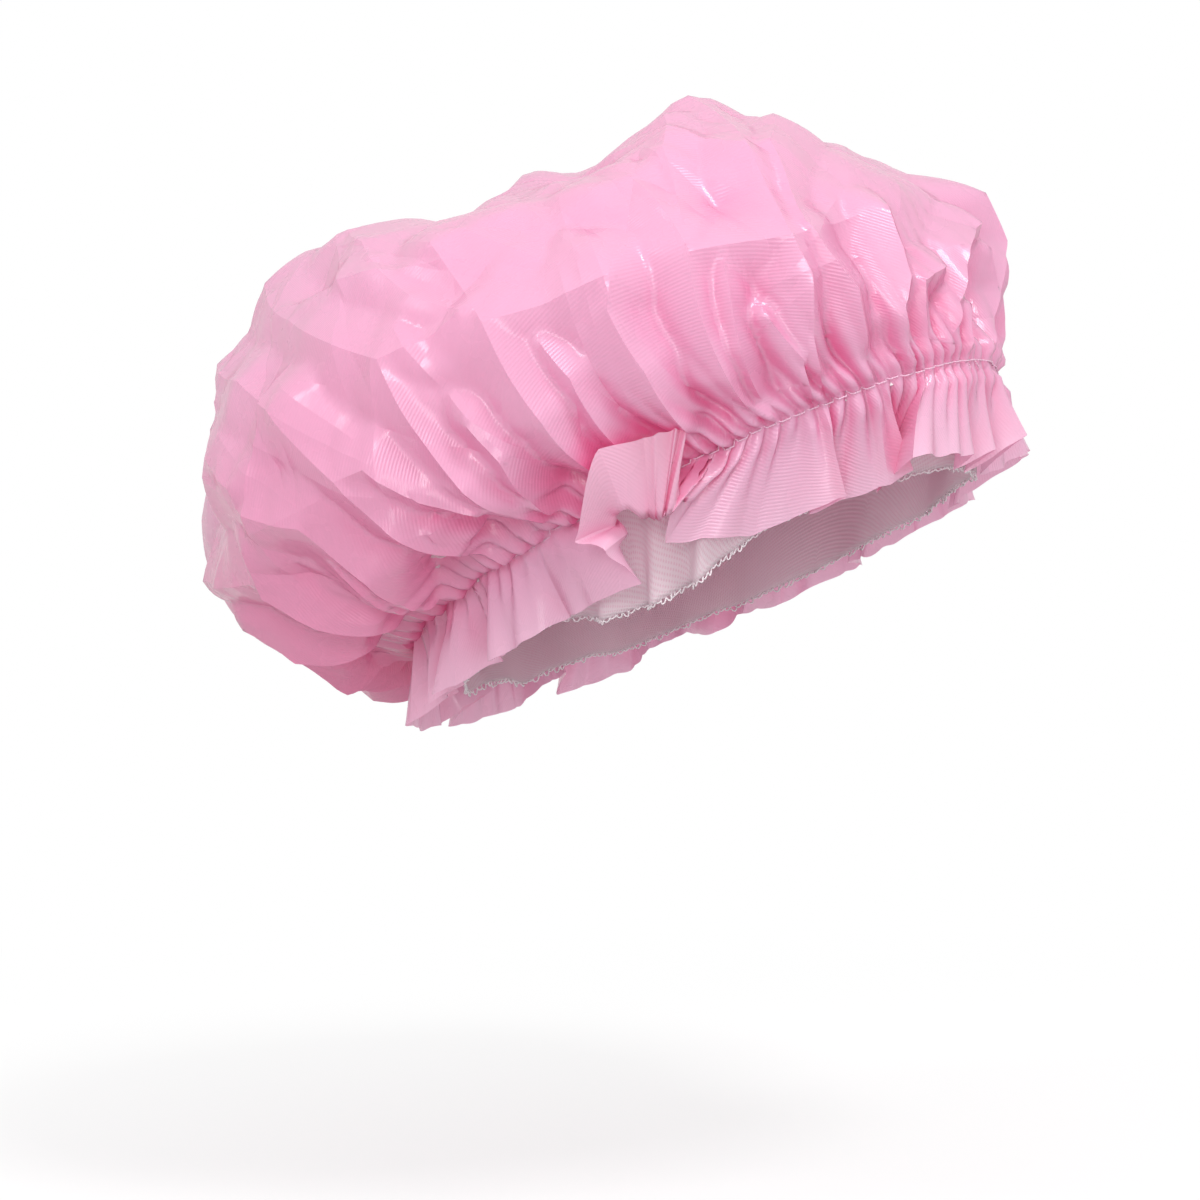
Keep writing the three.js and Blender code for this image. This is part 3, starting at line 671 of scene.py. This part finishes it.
def plain_rulings():
    """Straight rulings of the film all round, as (angle, flare, lean)."""
    rows = list(SEEN_RULINGS)
    for ridge, valley, side, bold in far_lobes():
        flare = math.degrees(front_to_back(math.radians(ridge), RUFFLE_FLARE_FRONT, RUFFLE_FLARE_BACK))
        rows.append((ridge, flare + LOBE_FLARE * bold, side * LOBE_LEAN * bold))
        rows.append((valley, flare - LOBE_FLARE * bold, 0))
    return rows


def film_rulings():
    """All rulings of the film as rows of (angle in degrees, half-depth place, edge place), by angle."""
    turned = [[at, *half, *edge] for at, half, edge in TURNED_RULINGS]
    return np.array(sorted([ruling(*row) for row in plain_rulings()] + turned))


def skirt_rulings():
    """The lining's rulings: its own at the temple, elsewhere as deep as the film's deepest valley nearby."""
    own = [ruling(*row) for row in SKIRT_RULINGS]
    first = SKIRT_RULINGS[0][0]
    last = SKIRT_RULINGS[-1][0]
    rows = plain_rulings()
    for angle, _, _ in rows:
        if not last <= angle <= first:
            flare = min(row[1] for row in rows if abs((row[0] - angle + 180) % 360 - 180) < SKIRT_REACH)
            own.append(ruling(angle, flare, 0, SKIRT_SHARE * ruffle_depth_at(np.radians(angle))))
    return np.array(sorted(own))


def ruffle_place(angle, share, rows):
    """Points of the ruffle by angle and by share of its depth, with rounded turns between rulings."""
    at = np.radians(rows[:, 0])
    number = np.arange(len(rows) + 2)
    at = np.concatenate([at[-1:] - 2 * np.pi, at, at[:1] + 2 * np.pi])
    places = np.concatenate([rows[-1:, 1:], rows[:, 1:], rows[:1, 1:]])
    turn = np.interp((angle - at[0]) % (2 * np.pi) + at[0], at, number)
    before = np.minimum(turn.astype(int), len(rows))
    part = turn - before
    part = (part + RULING_ROUND * (smooth_step(part, 0, 1) - part))[:, None]
    near = places[before] * (1 - part) + places[before + 1] * part
    low = np.clip(2 * share, 0, 1)[:, None]
    high = np.clip(2 * share - 1, 0, 1)[:, None]
    forward, out, down = (near[:, :3] * low + (near[:, 3:] - near[:, :3]) * high).T
    out = out * smooth_step(share, 0, PLUMB_SHARE)
    outward = ring_outward(angle)
    ahead = np.cross(UP, outward)
    return ring_point(angle) + ahead * forward[:, None] + outward * out[:, None] + PLUMB * down[:, None]


def ruffle_wave(angle, share):
    """Small waves of the ruffle, stronger towards its cut edge."""
    rng = np.random.default_rng(WAVE_SEED)
    waves = sum(np.cos(k * angle + rng.uniform(0, 6)) for k in WAVES_ROUND)
    return RUFFLE_WAVE / 2 * waves * share ** 1.5


def film_base(radius, angle):
    """The crown's smooth shape, and the ruffle as it hangs, with outward normals."""
    share = np.maximum(1 - radius / FILM_SEAM_RADIUS, 0)
    normal = crown.look_up(crown.normals, angle, share)
    base = crown.look_up(crown.points, angle, share) + normal * swell_rise(angle, share)[:, None]
    depth = np.clip((radius - FILM_SEAM_RADIUS) / (FILM_EDGE_RADIUS - FILM_SEAM_RADIUS), 0, 1)
    wave = ring_outward(angle) * ruffle_wave(angle, depth)[:, None]
    ruffle = ruffle_place(angle, depth, film_rulings()) + wave
    return np.where((depth > 0)[:, None], ruffle, base), unit(normal)


def seam_tuck(angle, distance):
    """How far the film is drawn in just above the seam, more towards the nape."""
    near = smooth_step(distance, TUCK_FROM, TUCK_DEEPEST) * (1 - smooth_step(distance, TUCK_DEEPEST, TUCK_TO))
    return front_to_back(angle, SEAM_TUCK_FRONT, SEAM_TUCK_BACK) * near


def film_rise(distance, angle):
    """Height of all folds over the smooth shape, by the distance above the seam."""
    share = np.maximum(distance, 0) / FILM_SEAM_RADIUS
    crests = crest_rise(angle, share) * smooth_step(distance, 0, SEAM_REACH)
    creases = crease_rise(angle, share) * smooth_step(distance, 0, CREASES_EASE_OVER)
    return crests + creases + pucker_rise(angle, np.abs(distance)) - seam_tuck(angle, distance)


def film_start(radius, angle):
    base, normal = film_base(radius, angle)
    return base + normal * film_rise(FILM_SEAM_RADIUS - radius, angle)[:, None]


def fold_lines():
    """Crests, creases and rulings of the film as runs of flat places."""
    lines = []
    for at, up, lean, half, _, _ in film_creases():
        along = np.linspace(-half, half, 2 + int(2 * half / FILM_SPACING))
        share = up + along * math.cos(lean) / FILM_SEAM_RADIUS
        angle = at + along * math.sin(lean) / crown.radius_at(share)
        inside = (share > CREASE_EDGES_FROM) & (share < CREASE_EDGES_TO)
        lines.append(flat_place(np.stack([FILM_SEAM_RADIUS * (1 - share), angle], -1)[inside]))
    for start, end in crest_runs():
        radius = FILM_SEAM_RADIUS * (1 - (start[1] + end[1]) / 2)
        length = math.hypot((end[0] - start[0]) * radius, (end[1] - start[1]) * FILM_SEAM_RADIUS)
        angle, share, _ = np.linspace(start, end, 2 + int(length / FILM_SPACING)).T
        lines.append(flat_place(np.stack([FILM_SEAM_RADIUS * (1 - share), angle], -1)))
    radius = np.linspace(FILM_SEAM_RADIUS, FILM_EDGE_RADIUS, 1 + round(RUFFLE_DEPTH_FRONT / FILM_SPACING))
    for angle in np.radians(film_rulings()[:, 0]):
        lines.append(flat_place(np.stack([radius, np.full_like(radius, angle)], -1)))
    return lines


def film_mesh():
    """The flat film in triangles with an edge along every fold line: flat places, faces and fold edges."""
    lines = fold_lines()
    folds = np.concatenate(lines)
    tree = search_tree(np.pad(folds, ((0, 0), (0, 1))))
    grid = flat_place(disc_mesh(FILM_SEAM_RADIUS, FILM_EDGE_RADIUS, FILM_SPACING)[0])
    apart = np.array([tree.find((*place, 0))[2] for place in grid])
    grid = grid[apart > FILM_CLEARANCE * FILM_SPACING]
    edges = []
    first = len(grid)
    for line in lines:
        edges += [(first + k, first + k + 1) for k in range(len(line) - 1)]
        first += len(line)
    places = [Vector(place) for place in np.concatenate([grid, folds])]
    flat, pairs, faces, _, sources, _ = delaunay_2d_cdt(places, edges, [], 0, 1e-3)
    sharp = [pair for pair, source in zip(pairs, sources) if source]
    return np.array([tuple(place) for place in flat]), np.array(faces), np.array(sharp)


# Lining

def lining_base(radius, angle):
    """The surface that the lining is gathered on, with its outward normals."""
    distance = np.maximum(LINING_SEAM_RADIUS - radius, 0)
    share = distance / LINING_SEAM_RADIUS
    inside = (radius <= LINING_SEAM_RADIUS)[:, None]
    depth = np.clip((radius - LINING_SEAM_RADIUS) / (LINING_EDGE_RADIUS - LINING_SEAM_RADIUS), 0, 1)
    skirt = ruffle_place(angle, depth, skirt_rulings())
    normal = unit(np.where(inside, crown.look_up(crown.normals, angle, share), ring_outward(angle)))
    inset = LINING_AT_SEAM + (LINING_IN_CROWN - LINING_AT_SEAM) * smooth_step(distance, 0, LINING_EASES_OVER)
    dome = crown.look_up(crown.points, angle, share) + normal * swell_rise(angle, share)[:, None]
    above = share * FILM_SEAM_RADIUS
    inset = np.maximum(inset + seam_tuck(angle, above), LINING_AT_SEAM - film_rise(above, angle))
    return np.where(inside, dome, skirt) - normal * inset[:, None], normal


def lining_start(radius, angle):
    """The lining before it is folded, with even gathers above the seam."""
    rng = np.random.default_rng(LINING_GATHER_SEED)
    sway = sum(rng.uniform(-1, 1) * np.cos(k * angle + rng.uniform(0, 6)) for k in range(2, 9))
    distance = LINING_SEAM_RADIUS - radius
    gathers = np.cos(LINING_GATHERS * angle + LINING_GATHER_SWAY * sway)
    gathers = gathers * smooth_step(distance, 0, LINING_GATHER_START)
    gathers = gathers * LINING_GATHER_HEIGHT * np.exp(-np.maximum(distance, 0) / LINING_GATHER_REACH)
    base, normal = lining_base(radius, angle)
    return base + normal * (gathers * (distance > 0))[:, None]


def lining_width_share(radius):
    """The share of the cloth's width that is not hidden in tucks."""
    width = radius - LINING_TUCKED_SHARE * np.maximum(radius - TUCKS_FROM_RADIUS, 0)
    skirt = SKIRT_FULLNESS * (OPENING_LENGTH + OPENING_WIDTH) / 4
    return np.where(radius <= LINING_SEAM_RADIUS, width, skirt) / np.maximum(radius, 1e-6)


def hold_skirt(cloth):
    """Puts the points from the seam outwards where they start, and tells which these are."""
    radius, angle = cloth.places()
    held = radius > LINING_SEAM_RADIUS - RING_MARGIN
    cloth.points[held] = lining_start(radius[held], angle[held])
    return held


def fold_lining():
    """Folds a coarse cloth, halves its edges, folds it again, and then halves and smooths it."""
    places, faces = disc_mesh(LINING_SEAM_RADIUS, LINING_EDGE_RADIUS, LINING_SPACING)
    cloth = Cloth(flat_place(places), faces, lining_start(*places.T))
    for steps in LINING_STEPS:
        held = hold_skirt(cloth)
        cloth.relax(steps, lining_width_share, held, *lining_base(*cloth.places()))
        cloth = cloth.refined()
    hold_skirt(cloth)
    for _ in range(SKIRT_SMOOTHING):
        cloth.points = cloth.smooth(cloth.points, 0.5)
    return cloth


def keep_inside(cloth, film, normals):
    """Moves the points of the lining's crown that stand out of the film back inside it."""
    tree = search_tree(film)
    for number in np.flatnonzero(cloth.places()[0] < LINING_SEAM_RADIUS):
        near = tree.find(cloth.points[number])[1]
        out = (cloth.points[number] - film[near]) @ normals[near] + LINING_CLEARANCE
        cloth.points[number] -= max(out, 0) * normals[near]


# Threads

def tube_mesh(paths, radius, sides, rings=0):
    """Round strands along runs of points, the first ones closed: points, faces, places along and around."""
    points = []
    faces = []
    places = []
    turns = np.arange(sides) * 2 * np.pi / sides
    for number, path in enumerate(paths):
        closed = number < rings
        steps = np.roll(path, -1, 0) - np.roll(path, 1, 0) if closed else np.gradient(path, axis=0)
        ahead = unit(steps)
        side = unit(np.cross(ahead, unit(np.array([0.31, 0.52, 0.79]))))
        above = np.cross(ahead, side)
        first = len(points) * sides
        for place, s, u, far in zip(path, side, above, run_along(path)):
            points.append(place + radius * (np.cos(turns)[:, None] * s + np.sin(turns)[:, None] * u))
            places.append(np.stack([np.full(sides, far), radius * turns], -1))
        count = len(path)
        for k in range(count if closed else count - 1):
            low = first + k * sides
            high = first + (k + 1) % count * sides
            for i in range(sides):
                j = (i + 1) % sides
                faces.append((low + i, low + j, high + j, high + i))
        if not closed:
            faces.append([first + i for i in reversed(range(sides))])
            faces.append([first + (count - 1) * sides + i for i in range(sides)])
    return np.concatenate(points), faces, np.concatenate(places)


def stitch_angles():
    """Angles of all thread points at even steps round the seam, and 0 in a hole to 1 clear of it at each."""
    fine = np.linspace(0, 2 * np.pi, 4001)
    run = run_along(ring_point(fine))
    count = round(run[-1] / STITCH_LENGTH) * STITCH_STEPS
    angles = np.interp(np.arange(count) / count * run[-1], run, fine)
    place = np.arange(count) % STITCH_STEPS / STITCH_STEPS
    return angles, smooth_step(np.minimum(place, 1 - place), 0, HOLE_SHARE)


def needle_path():
    """Over the film from hole to hole, down into each hole."""
    angle, clear = stitch_angles()
    rise = pucker_rise(angle, 0 * angle)
    over = rise.reshape(-1, STITCH_STEPS).max(1).repeat(STITCH_STEPS) + THREAD_RADIUS + THREAD_GAP
    height = (rise - HOLE_DEPTH) * (1 - clear) + over * clear
    normal = crown.look_up(crown.normals, angle, 0 * angle)
    return ring_point(angle) + normal * height[:, None]


def bobbin_path():
    angle, clear = stitch_angles()
    height = LINING_AT_SEAM + LINING_THICKNESS - HOLE_DEPTH + (HOLE_DEPTH + THREAD_RADIUS) * clear
    return ring_point(angle) - ring_outward(angle) * height[:, None]


def thread_tail(angle, length, lean, curl):
    """A loose thread end that hangs from a stitch and curls."""
    at = np.radians([angle])
    start = ring_point(at)[0]
    outward = ring_outward(at)[0]
    along = np.cross(UP, outward)
    t = np.linspace(0, 1, TAIL_POINTS)[:, None]
    out = outward * (1.2 + 5 * t - 3.5 * t * t)
    return start + out + PLUMB * length * t + along * (lean * t + curl * np.sin(np.pi * 1.4 * t))


# Pieces

def mesh_object(name, points, faces, flat=None):
    mesh = bpy.data.meshes.new(name)
    mesh.from_pydata(points.tolist(), [], [list(map(int, face)) for face in faces])
    mesh.polygons.foreach_set("use_smooth", np.ones(len(mesh.polygons), bool))
    if flat is not None:
        corners = np.empty(len(mesh.loops), int)
        mesh.loops.foreach_get("vertex_index", corners)
        layer = mesh.uv_layers.new(name="flat")
        layer.data.foreach_set("uv", (flat[corners] * MM).ravel())
    piece = bpy.data.objects.new(name, mesh)
    bpy.context.scene.collection.objects.link(piece)
    return piece


def crease_edges(mesh, pairs):
    """Marks some of a mesh's edges as sharp."""
    ends = np.empty(2 * len(mesh.edges), int)
    mesh.edges.foreach_get("vertices", ends)
    keys = edge_key(*ends.reshape(-1, 2).T)
    mesh.attributes.new("sharp_edge", "BOOLEAN", "EDGE")
    mesh.attributes["sharp_edge"].data.foreach_set("value", np.isin(keys, edge_key(*pairs.T)))


def film_piece():
    """Makes the film, and gives its crown's points and outward normals."""
    flat, faces, folds = film_mesh()
    radius = np.hypot(*flat.T)
    angle = np.arctan2(flat[:, 0], -flat[:, 1])
    points = film_start(radius, angle)
    piece = mesh_object("film_sheet", tilted(points), faces, flat)
    crease_edges(piece.data, folds)
    piece.data.materials.append(film_material())
    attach(piece, "root")
    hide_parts("film_cap")
    inner = radius <= FILM_SEAM_RADIUS
    return points[inner], film_base(radius, angle)[1][inner]


def lining_piece(film):
    cloth = fold_lining()
    keep_inside(cloth, *film)
    piece = mesh_object("terry_sheet", tilted(cloth.points), cloth.faces, cloth.flat)
    piece.data.materials.append(terry_material())
    wall = piece.modifiers.new("thickness", "SOLIDIFY")
    wall.thickness = LINING_THICKNESS * MM
    wall.offset = -1
    loops = edge_loops(cloth)
    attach(piece, "root")
    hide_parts("terry_lining")


def edge_loops(cloth):
    """The knit's cut loops, standing out all along the raw edge."""
    rng = np.random.default_rng(EDGE_LOOP_SEED)
    radius, angle = cloth.places()
    edge = np.flatnonzero(radius > LINING_EDGE_RADIUS - RING_MARGIN)
    line = cloth.points[edge[np.argsort(angle[edge])]]
    line = np.concatenate([line, line[:1]])
    run = run_along(line)
    count = round(run[-1] / EDGE_LOOP_STEP)
    stops = np.arange(count + 1) / count * run[-1]
    stops = np.stack([np.interp(stops, run, line[:, k]) for k in range(3)], -1)
    turn = np.linspace(0, np.pi, EDGE_LOOP_POINTS)[:, None]
    paths = []
    for here, there in zip(stops, stops[1:]):
        down = unit(PLUMB + rng.normal(0, EDGE_LOOP_STRAY, 3))
        across = (there - here) * rng.uniform(0.35, 0.6)
        reach = EDGE_LOOP_LENGTH * rng.uniform(0.5, 1.5)
        middle = (here + there) / 2 - unit(here * [1, 1, 0]) * 0.5 * LINING_THICKNESS
        hang = down * (np.sin(turn) * reach - EDGE_LOOP_ROOT)
        paths.append(middle - np.cos(turn) * across + hang)
    points, faces, places = tube_mesh(paths, EDGE_LOOP_RADIUS, EDGE_LOOP_SIDES)
    piece = mesh_object("terry_edge_loops", tilted(points), faces, places)
    piece.data.materials.append(thread_material("terry_yarn", (0.97, 0.87, 0.91, 1)))
    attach(piece, "root")
    return piece


def thread_piece(name, node, paths, material):
    """A thread whose first path is closed round the seam, with any loose ends after it."""
    points, faces, places = tube_mesh(paths, THREAD_RADIUS, THREAD_SIDES, 1)
    piece = mesh_object(name, tilted(points), faces, places)
    piece.data.materials.append(material)
    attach(piece, "root")
    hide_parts(node)


def finish_node(node, material):
    """A new finish for a CAD node that keeps its own shape."""
    mesh = bpy.data.objects[node].data
    mesh.materials.clear()
    mesh.materials.append(material)


def seam_pieces():
    material = thread_material("sewing_thread", (0.95, 0.58, 0.75, 1))
    tails = [thread_tail(*tail) for tail in THREAD_TAILS]
    thread_piece("needle_stitches", "needle_thread", [needle_path(), *tails], material)
    thread_piece("bobbin_stitches", "bobbin_thread", [bobbin_path()], material)


# Materials

def new_material(name):
    """A new material, with its node tree and its shader."""
    material = bpy.data.materials.new(name)
    material.use_nodes = True
    tree = material.node_tree
    return material, tree, tree.nodes["Principled BSDF"]


def set_sockets(tree, node, sockets):
    """Sets each of a node's inputs to a value, or links it to another node's output."""
    for name, value in sockets.items():
        if isinstance(value, bpy.types.NodeSocket):
            tree.links.new(value, node.inputs[name])
        else:
            node.inputs[name].default_value = value


def add_node(tree, kind, sockets, **settings):
    """Adds a shader node and gives its outputs."""
    node = tree.nodes.new("ShaderNode" + kind)
    for name, value in settings.items():
        setattr(node, name, value)
    set_sockets(tree, node, sockets)
    return node.outputs


def math_node(tree, operation, *values):
    return add_node(tree, "Math", dict(enumerate(values)), operation=operation)["Value"]


def times(tree, first, *others):
    for other in others:
        first = math_node(tree, "MULTIPLY", first, other)
    return first


def flat_waves(tree, turn, step):
    """Waves across the flat cloth along one direction, one each step of millimetres."""
    place = add_node(tree, "UVMap", {}, uv_map="flat")["UV"]
    scale = 2 * math.pi / (step * MM)
    way = (math.cos(turn) * scale, math.sin(turn) * scale, 0)
    along = add_node(tree, "VectorMath", {0: place, 1: way}, operation="DOT_PRODUCT")["Value"]
    return math_node(tree, "SINE", along)


def disc_radius(tree):
    place = add_node(tree, "UVMap", {}, uv_map="flat")["UV"]
    return add_node(tree, "VectorMath", {0: place}, operation="LENGTH")["Value"]


def noise(tree, scale, detail=3.0):
    """Noise in the object's own metres."""
    place = add_node(tree, "TexCoord", {})["Object"]
    return add_node(tree, "TexNoise", {"Scale": scale, "Detail": detail, "Vector": place})["Fac"]


def ramp(tree, value, stops):
    """Colours by value: stops of (place, colour)."""
    node = tree.nodes.new("ShaderNodeValToRGB")
    for element, (place, colour) in zip(node.color_ramp.elements, stops):
        element.position = place
        element.color = colour
    tree.links.new(value, node.inputs["Fac"])
    return node.outputs["Color"]


def spread(tree, value, low, high):
    return add_node(tree, "MapRange", {"Value": value, "To Min": low, "To Max": high})["Result"]


def between(tree, value, low, high):
    """0 to 1 while a length grows from one size to another, in millimetres."""
    return add_node(tree, "MapRange", {"Value": value, "From Min": low * MM, "From Max": high * MM})["Result"]


def mixed(tree, share, colour, other):
    return add_node(tree, "Mix", {"Factor": share, "A": colour, "B": other}, data_type="RGBA")["Result"]


def bump(tree, height, depth):
    return add_node(tree, "Bump", {"Strength": 1.0, "Distance": depth * MM, "Height": height})["Normal"]


def show_mix(tree, output, share, first, second):
    """Shows a mix of two shaders."""
    both = add_node(tree, "MixShader", {"Fac": share, 1: first, 2: second})["Shader"]
    tree.links.new(both, tree.nodes[output].inputs["Surface"])


def see_through(tree, shader, colour, share):
    """Lets a share of the light on a thin sheet pass to its other side."""
    glow = add_node(tree, "BsdfTranslucent", {"Color": colour})["BSDF"]
    show_mix(tree, "Material Output", share, shader.outputs["BSDF"], glow)


def sunk(tree, reach):
    """How open a place is: 1 on crests and facets, towards 0 deep in folds of the same piece."""
    return add_node(tree, "AmbientOcclusion", {"Distance": reach * MM}, samples=8, only_local=True)["AO"]


def painted_nape_shade(tree, colour):
    """A film colour that turns deeper above the seam at the nape: painted shade for the shadowed underside of
    the back of the crown.
    """
    radius = disc_radius(tree)
    above = between(tree, radius, NAPE_SHADE_FROM, FILM_SEAM_RADIUS)
    below = between(tree, radius, FILM_SEAM_RADIUS + NAPE_SHADE_PAST, FILM_SEAM_RADIUS)
    place = add_node(tree, "TexCoord", {})["Object"]
    along = add_node(tree, "SeparateXYZ", {"Vector": place})["Y"]
    back = between(tree, along, NAPE_SHADE_BEHIND, CROWN_LENGTH / 2)
    # Painted shade: the colour is mixed towards a deep, saturated pink towards the back, low on the crown.
    return mixed(tree, times(tree, above, below, back, NAPE_SHADE_DEPTH), colour, (0.93, 0.2, 0.4, 1))


def painted_ruffle_light(tree, colour):
    """A film colour that turns paler past the seam: painted light on the ruffle that hangs free."""
    past = between(tree, disc_radius(tree), FILM_SEAM_RADIUS, FILM_EDGE_RADIUS)
    # Painted light: the ruffle's colour is mixed towards a pale pink.
    return mixed(tree, times(tree, past, RUFFLE_PAINTED_LIGHT), colour, (0.95, 0.7, 0.83, 1))


def film_material():
    """Thin glossy film, embossed with fine diagonal lines, its colour deepened by painted shade in its folds
    and at the nape, and made paler by painted light on the ruffle.
    """
    material, tree, shader = new_material("film")
    cloud = spread(tree, noise(tree, CLOUD_SCALE), -0.15, 0.15)
    # Painted shade: ambient occlusion in the film's own folds turns its colour to the ramp's deeper, more
    # saturated pink.
    fold_shade_mask = math_node(tree, "ADD", sunk(tree, FOLD_SHADE_REACH), cloud)
    colour = ramp(tree, fold_shade_mask, [(0.25, (0.93, 0.17, 0.4, 1)), (0.9, (0.93, 0.51, 0.73, 1))])
    lines = flat_waves(tree, EMBOSS_TURN, EMBOSS_STEP)
    set_sockets(tree, shader, {
        "Base Color": painted_ruffle_light(tree, painted_nape_shade(tree, colour)),
        "Roughness": spread(tree, noise(tree, GLOSS_SCALE), 0.2, 0.34),
        "Specular IOR Level": 0.7,
        "Specular Tint": (1, 0.8, 0.9, 1),
        "Coat Weight": 0.6,
        "Coat Roughness": 0.13,
        "Normal": bump(tree, lines, EMBOSS_DEPTH),
    })
    see_through(tree, shader, (0.96, 0.42, 0.62, 1), 0.35)
    return material


def terry_material():
    """Open knit: rows and columns of raised loops with holes between them, the holes darker and pinker,
    partly from the film behind them and partly from painted shade.
    """
    material, tree, shader = new_material("terry")
    columns = flat_waves(tree, 0.0, KNIT_STEP)
    rows = flat_waves(tree, math.pi / 2, KNIT_STEP)
    lattice = math_node(tree, "ADD", columns, rows)
    height = math_node(tree, "ADD", times(tree, lattice, 0.25), 0.5)
    fuzz = times(tree, noise(tree, FUZZ_SCALE, 6.0), 0.4)
    set_sockets(tree, shader, {
        # Partly painted shade: the holes between the loops are coloured darker and pinker. The pink film
        # showing through them is real.
        "Base Color": ramp(tree, height, [(0.15, (0.86, 0.6, 0.7, 1)), (0.42, (0.98, 0.9, 0.94, 1))]),
        "Roughness": 0.9,
        "Sheen Weight": 0.3,
        "Normal": bump(tree, math_node(tree, "ADD", height, fuzz), KNIT_DEPTH),
    })
    see_through(tree, shader, (0.97, 0.84, 0.89, 1), 0.5)
    return material


def thread_material(name, colour):
    """Two plies, seen as slanting lines round the strand, with painted shade darkening the grooves between
    them.
    """
    material, tree, shader = new_material(name)
    plies = flat_waves(tree, PLY_TURN, PLY_STEP)
    groove_shade = tuple(0.75 * part for part in colour[:3]) + (1,)
    set_sockets(tree, shader, {
        # Painted shade: the grooves between the plies are coloured a quarter darker.
        "Base Color": ramp(tree, spread(tree, plies, 0.5, 1), [(0, groove_shade), (0.6, colour)]),
        "Roughness": 0.6,
        "Sheen Weight": 0.2,
        "Normal": bump(tree, plies, PLY_DEPTH),
    })
    return material


def elastic_material():
    """Covered elastic, with ribs along the band and painted shade darkening the grooves between them."""
    material, tree, shader = new_material("elastic")
    place = add_node(tree, "TexCoord", {})["Object"]
    level = add_node(tree, "Mapping", {"Rotation": (OPENING_TILT, 0, 0), "Vector": place})["Vector"]
    wave = {"Scale": 300, "Distortion": 0.4, "Vector": level}
    ribs = add_node(tree, "TexWave", wave, bands_direction="Z")["Fac"]
    set_sockets(tree, shader, {
        # Painted shade: the grooves between the ribs are coloured darker.
        "Base Color": ramp(tree, ribs, [(0.1, (0.7, 0.62, 0.64, 1)), (0.7, (0.88, 0.84, 0.85, 1))]),
        "Roughness": 0.75,
        "Normal": bump(tree, ribs, RIB_DEPTH),
    })
    return material


# Stage, light and camera

FRAME_PIXELS = 1200
CAMERA_AZIMUTH = math.radians(-60)
CAMERA_ELEVATION = math.radians(4)
CAMERA_DISTANCE = 1.6
FOCAL_PIXELS = 4690
CENTRE_PIXEL = (699, 504)
SENSOR = 36.0
FLOOR_HEIGHT = -0.24
FLOOR_HALF = 6.0
FLOOR_FADE = {"From Min": 0.28, "From Max": 0.65, "To Min": 0.5}
WHITE = (1, 1, 1, 1)
SOFT_LIGHT = 0.88
LAMPS_AIM = Vector((0, 0, 0.05))
# Lamps: (name, place, size, power)
LAMPS = [
    ("key", (-0.45, -0.8, 1.4), 0.4, 10),
    ("side", (-0.95, 0.8, 1.1), 0.25, 2),
    ("front", (-1.5, -0.5, 0.5), 0.4, 5.5),
    ("low", (-1.2, -0.9, -0.12), 0.5, 3.5),
]


def add_camera():
    a = CAMERA_AZIMUTH
    e = CAMERA_ELEVATION
    back = Vector((math.sin(a) * math.cos(e), -math.cos(a) * math.cos(e), math.sin(e)))
    right = Vector((math.cos(a), math.sin(a), 0))
    up = back.cross(right)
    data = bpy.data.cameras.new("camera")
    camera = bpy.data.objects.new("camera", data)
    bpy.context.scene.collection.objects.link(camera)
    columns = zip(right, up, back, back * CAMERA_DISTANCE)
    camera.matrix_world = Matrix([*columns, (0, 0, 0, 1)])
    data.sensor_fit = "HORIZONTAL"
    data.sensor_width = SENSOR
    data.lens = FOCAL_PIXELS / FRAME_PIXELS * SENSOR
    data.shift_x = (FRAME_PIXELS / 2 - CENTRE_PIXEL[0]) / FRAME_PIXELS
    data.shift_y = (CENTRE_PIXEL[1] - FRAME_PIXELS / 2) / FRAME_PIXELS
    bpy.context.scene.camera = camera


def add_lamp(name, place, size, power):
    data = bpy.data.lights.new(name, "AREA")
    data.size = size
    data.energy = power
    lamp = bpy.data.objects.new(name, data)
    lamp.location = place
    lamp.rotation_euler = (LAMPS_AIM - Vector(place)).to_track_quat("-Z", "Y").to_euler()
    bpy.context.scene.collection.objects.link(lamp)


def seen_directly(tree):
    """1 for rays that show a background: from the camera, or by a glossy or clear surface."""
    path = add_node(tree, "LightPath", {})
    mirrored = math_node(tree, "MAXIMUM", path["Is Glossy Ray"], path["Is Transmission Ray"])
    return math_node(tree, "MAXIMUM", path["Is Camera Ray"], mirrored)


def add_world():
    """Soft white light from all round, in front of a white background."""
    world = bpy.data.worlds.new("studio")
    bpy.context.scene.world = world
    world.use_nodes = True
    tree = world.node_tree
    soft = tree.nodes["Background"]
    set_sockets(tree, soft, {"Color": WHITE, "Strength": SOFT_LIGHT})
    white = add_node(tree, "Background", {"Color": WHITE})["Background"]
    show_mix(tree, "World Output", seen_directly(tree), soft.outputs["Background"], white)


def add_floor():
    """A pale floor that keeps the shadow and fades to white away from it."""
    corners = np.array([(-1, -1, 0), (1, -1, 0), (1, 1, 0), (-1, 1, 0)]) * FLOOR_HALF + [0, 0, FLOOR_HEIGHT]
    floor = mesh_object("floor", corners, [(0, 1, 2, 3)])
    material, tree, shader = new_material("floor")
    seen = seen_directly(tree)
    pale = spread(tree, seen, 0.45, 0.9)
    set_sockets(tree, shader, {"Base Color": pale, "Roughness": 0.9, "Specular IOR Level": 0})
    place = add_node(tree, "NewGeometry", {})["Position"]
    away = add_node(tree, "VectorMath", {0: place}, operation="LENGTH")["Value"]
    fade = {"Value": away, **FLOOR_FADE}
    share = times(tree, seen, add_node(tree, "MapRange", fade, interpolation_type="SMOOTHSTEP")["Result"])
    white = add_node(tree, "Emission", {"Color": WHITE})["Emission"]
    show_mix(tree, "Material Output", share, shader.outputs["BSDF"], white)
    floor.data.materials.append(material)


add_camera()
add_world()
add_floor()
for lamp in LAMPS:
    add_lamp(*lamp)
bpy.context.scene.view_settings.view_transform = "Standard"
lining_piece(film_piece())
seam_pieces()
finish_node("elastic_band", elastic_material())
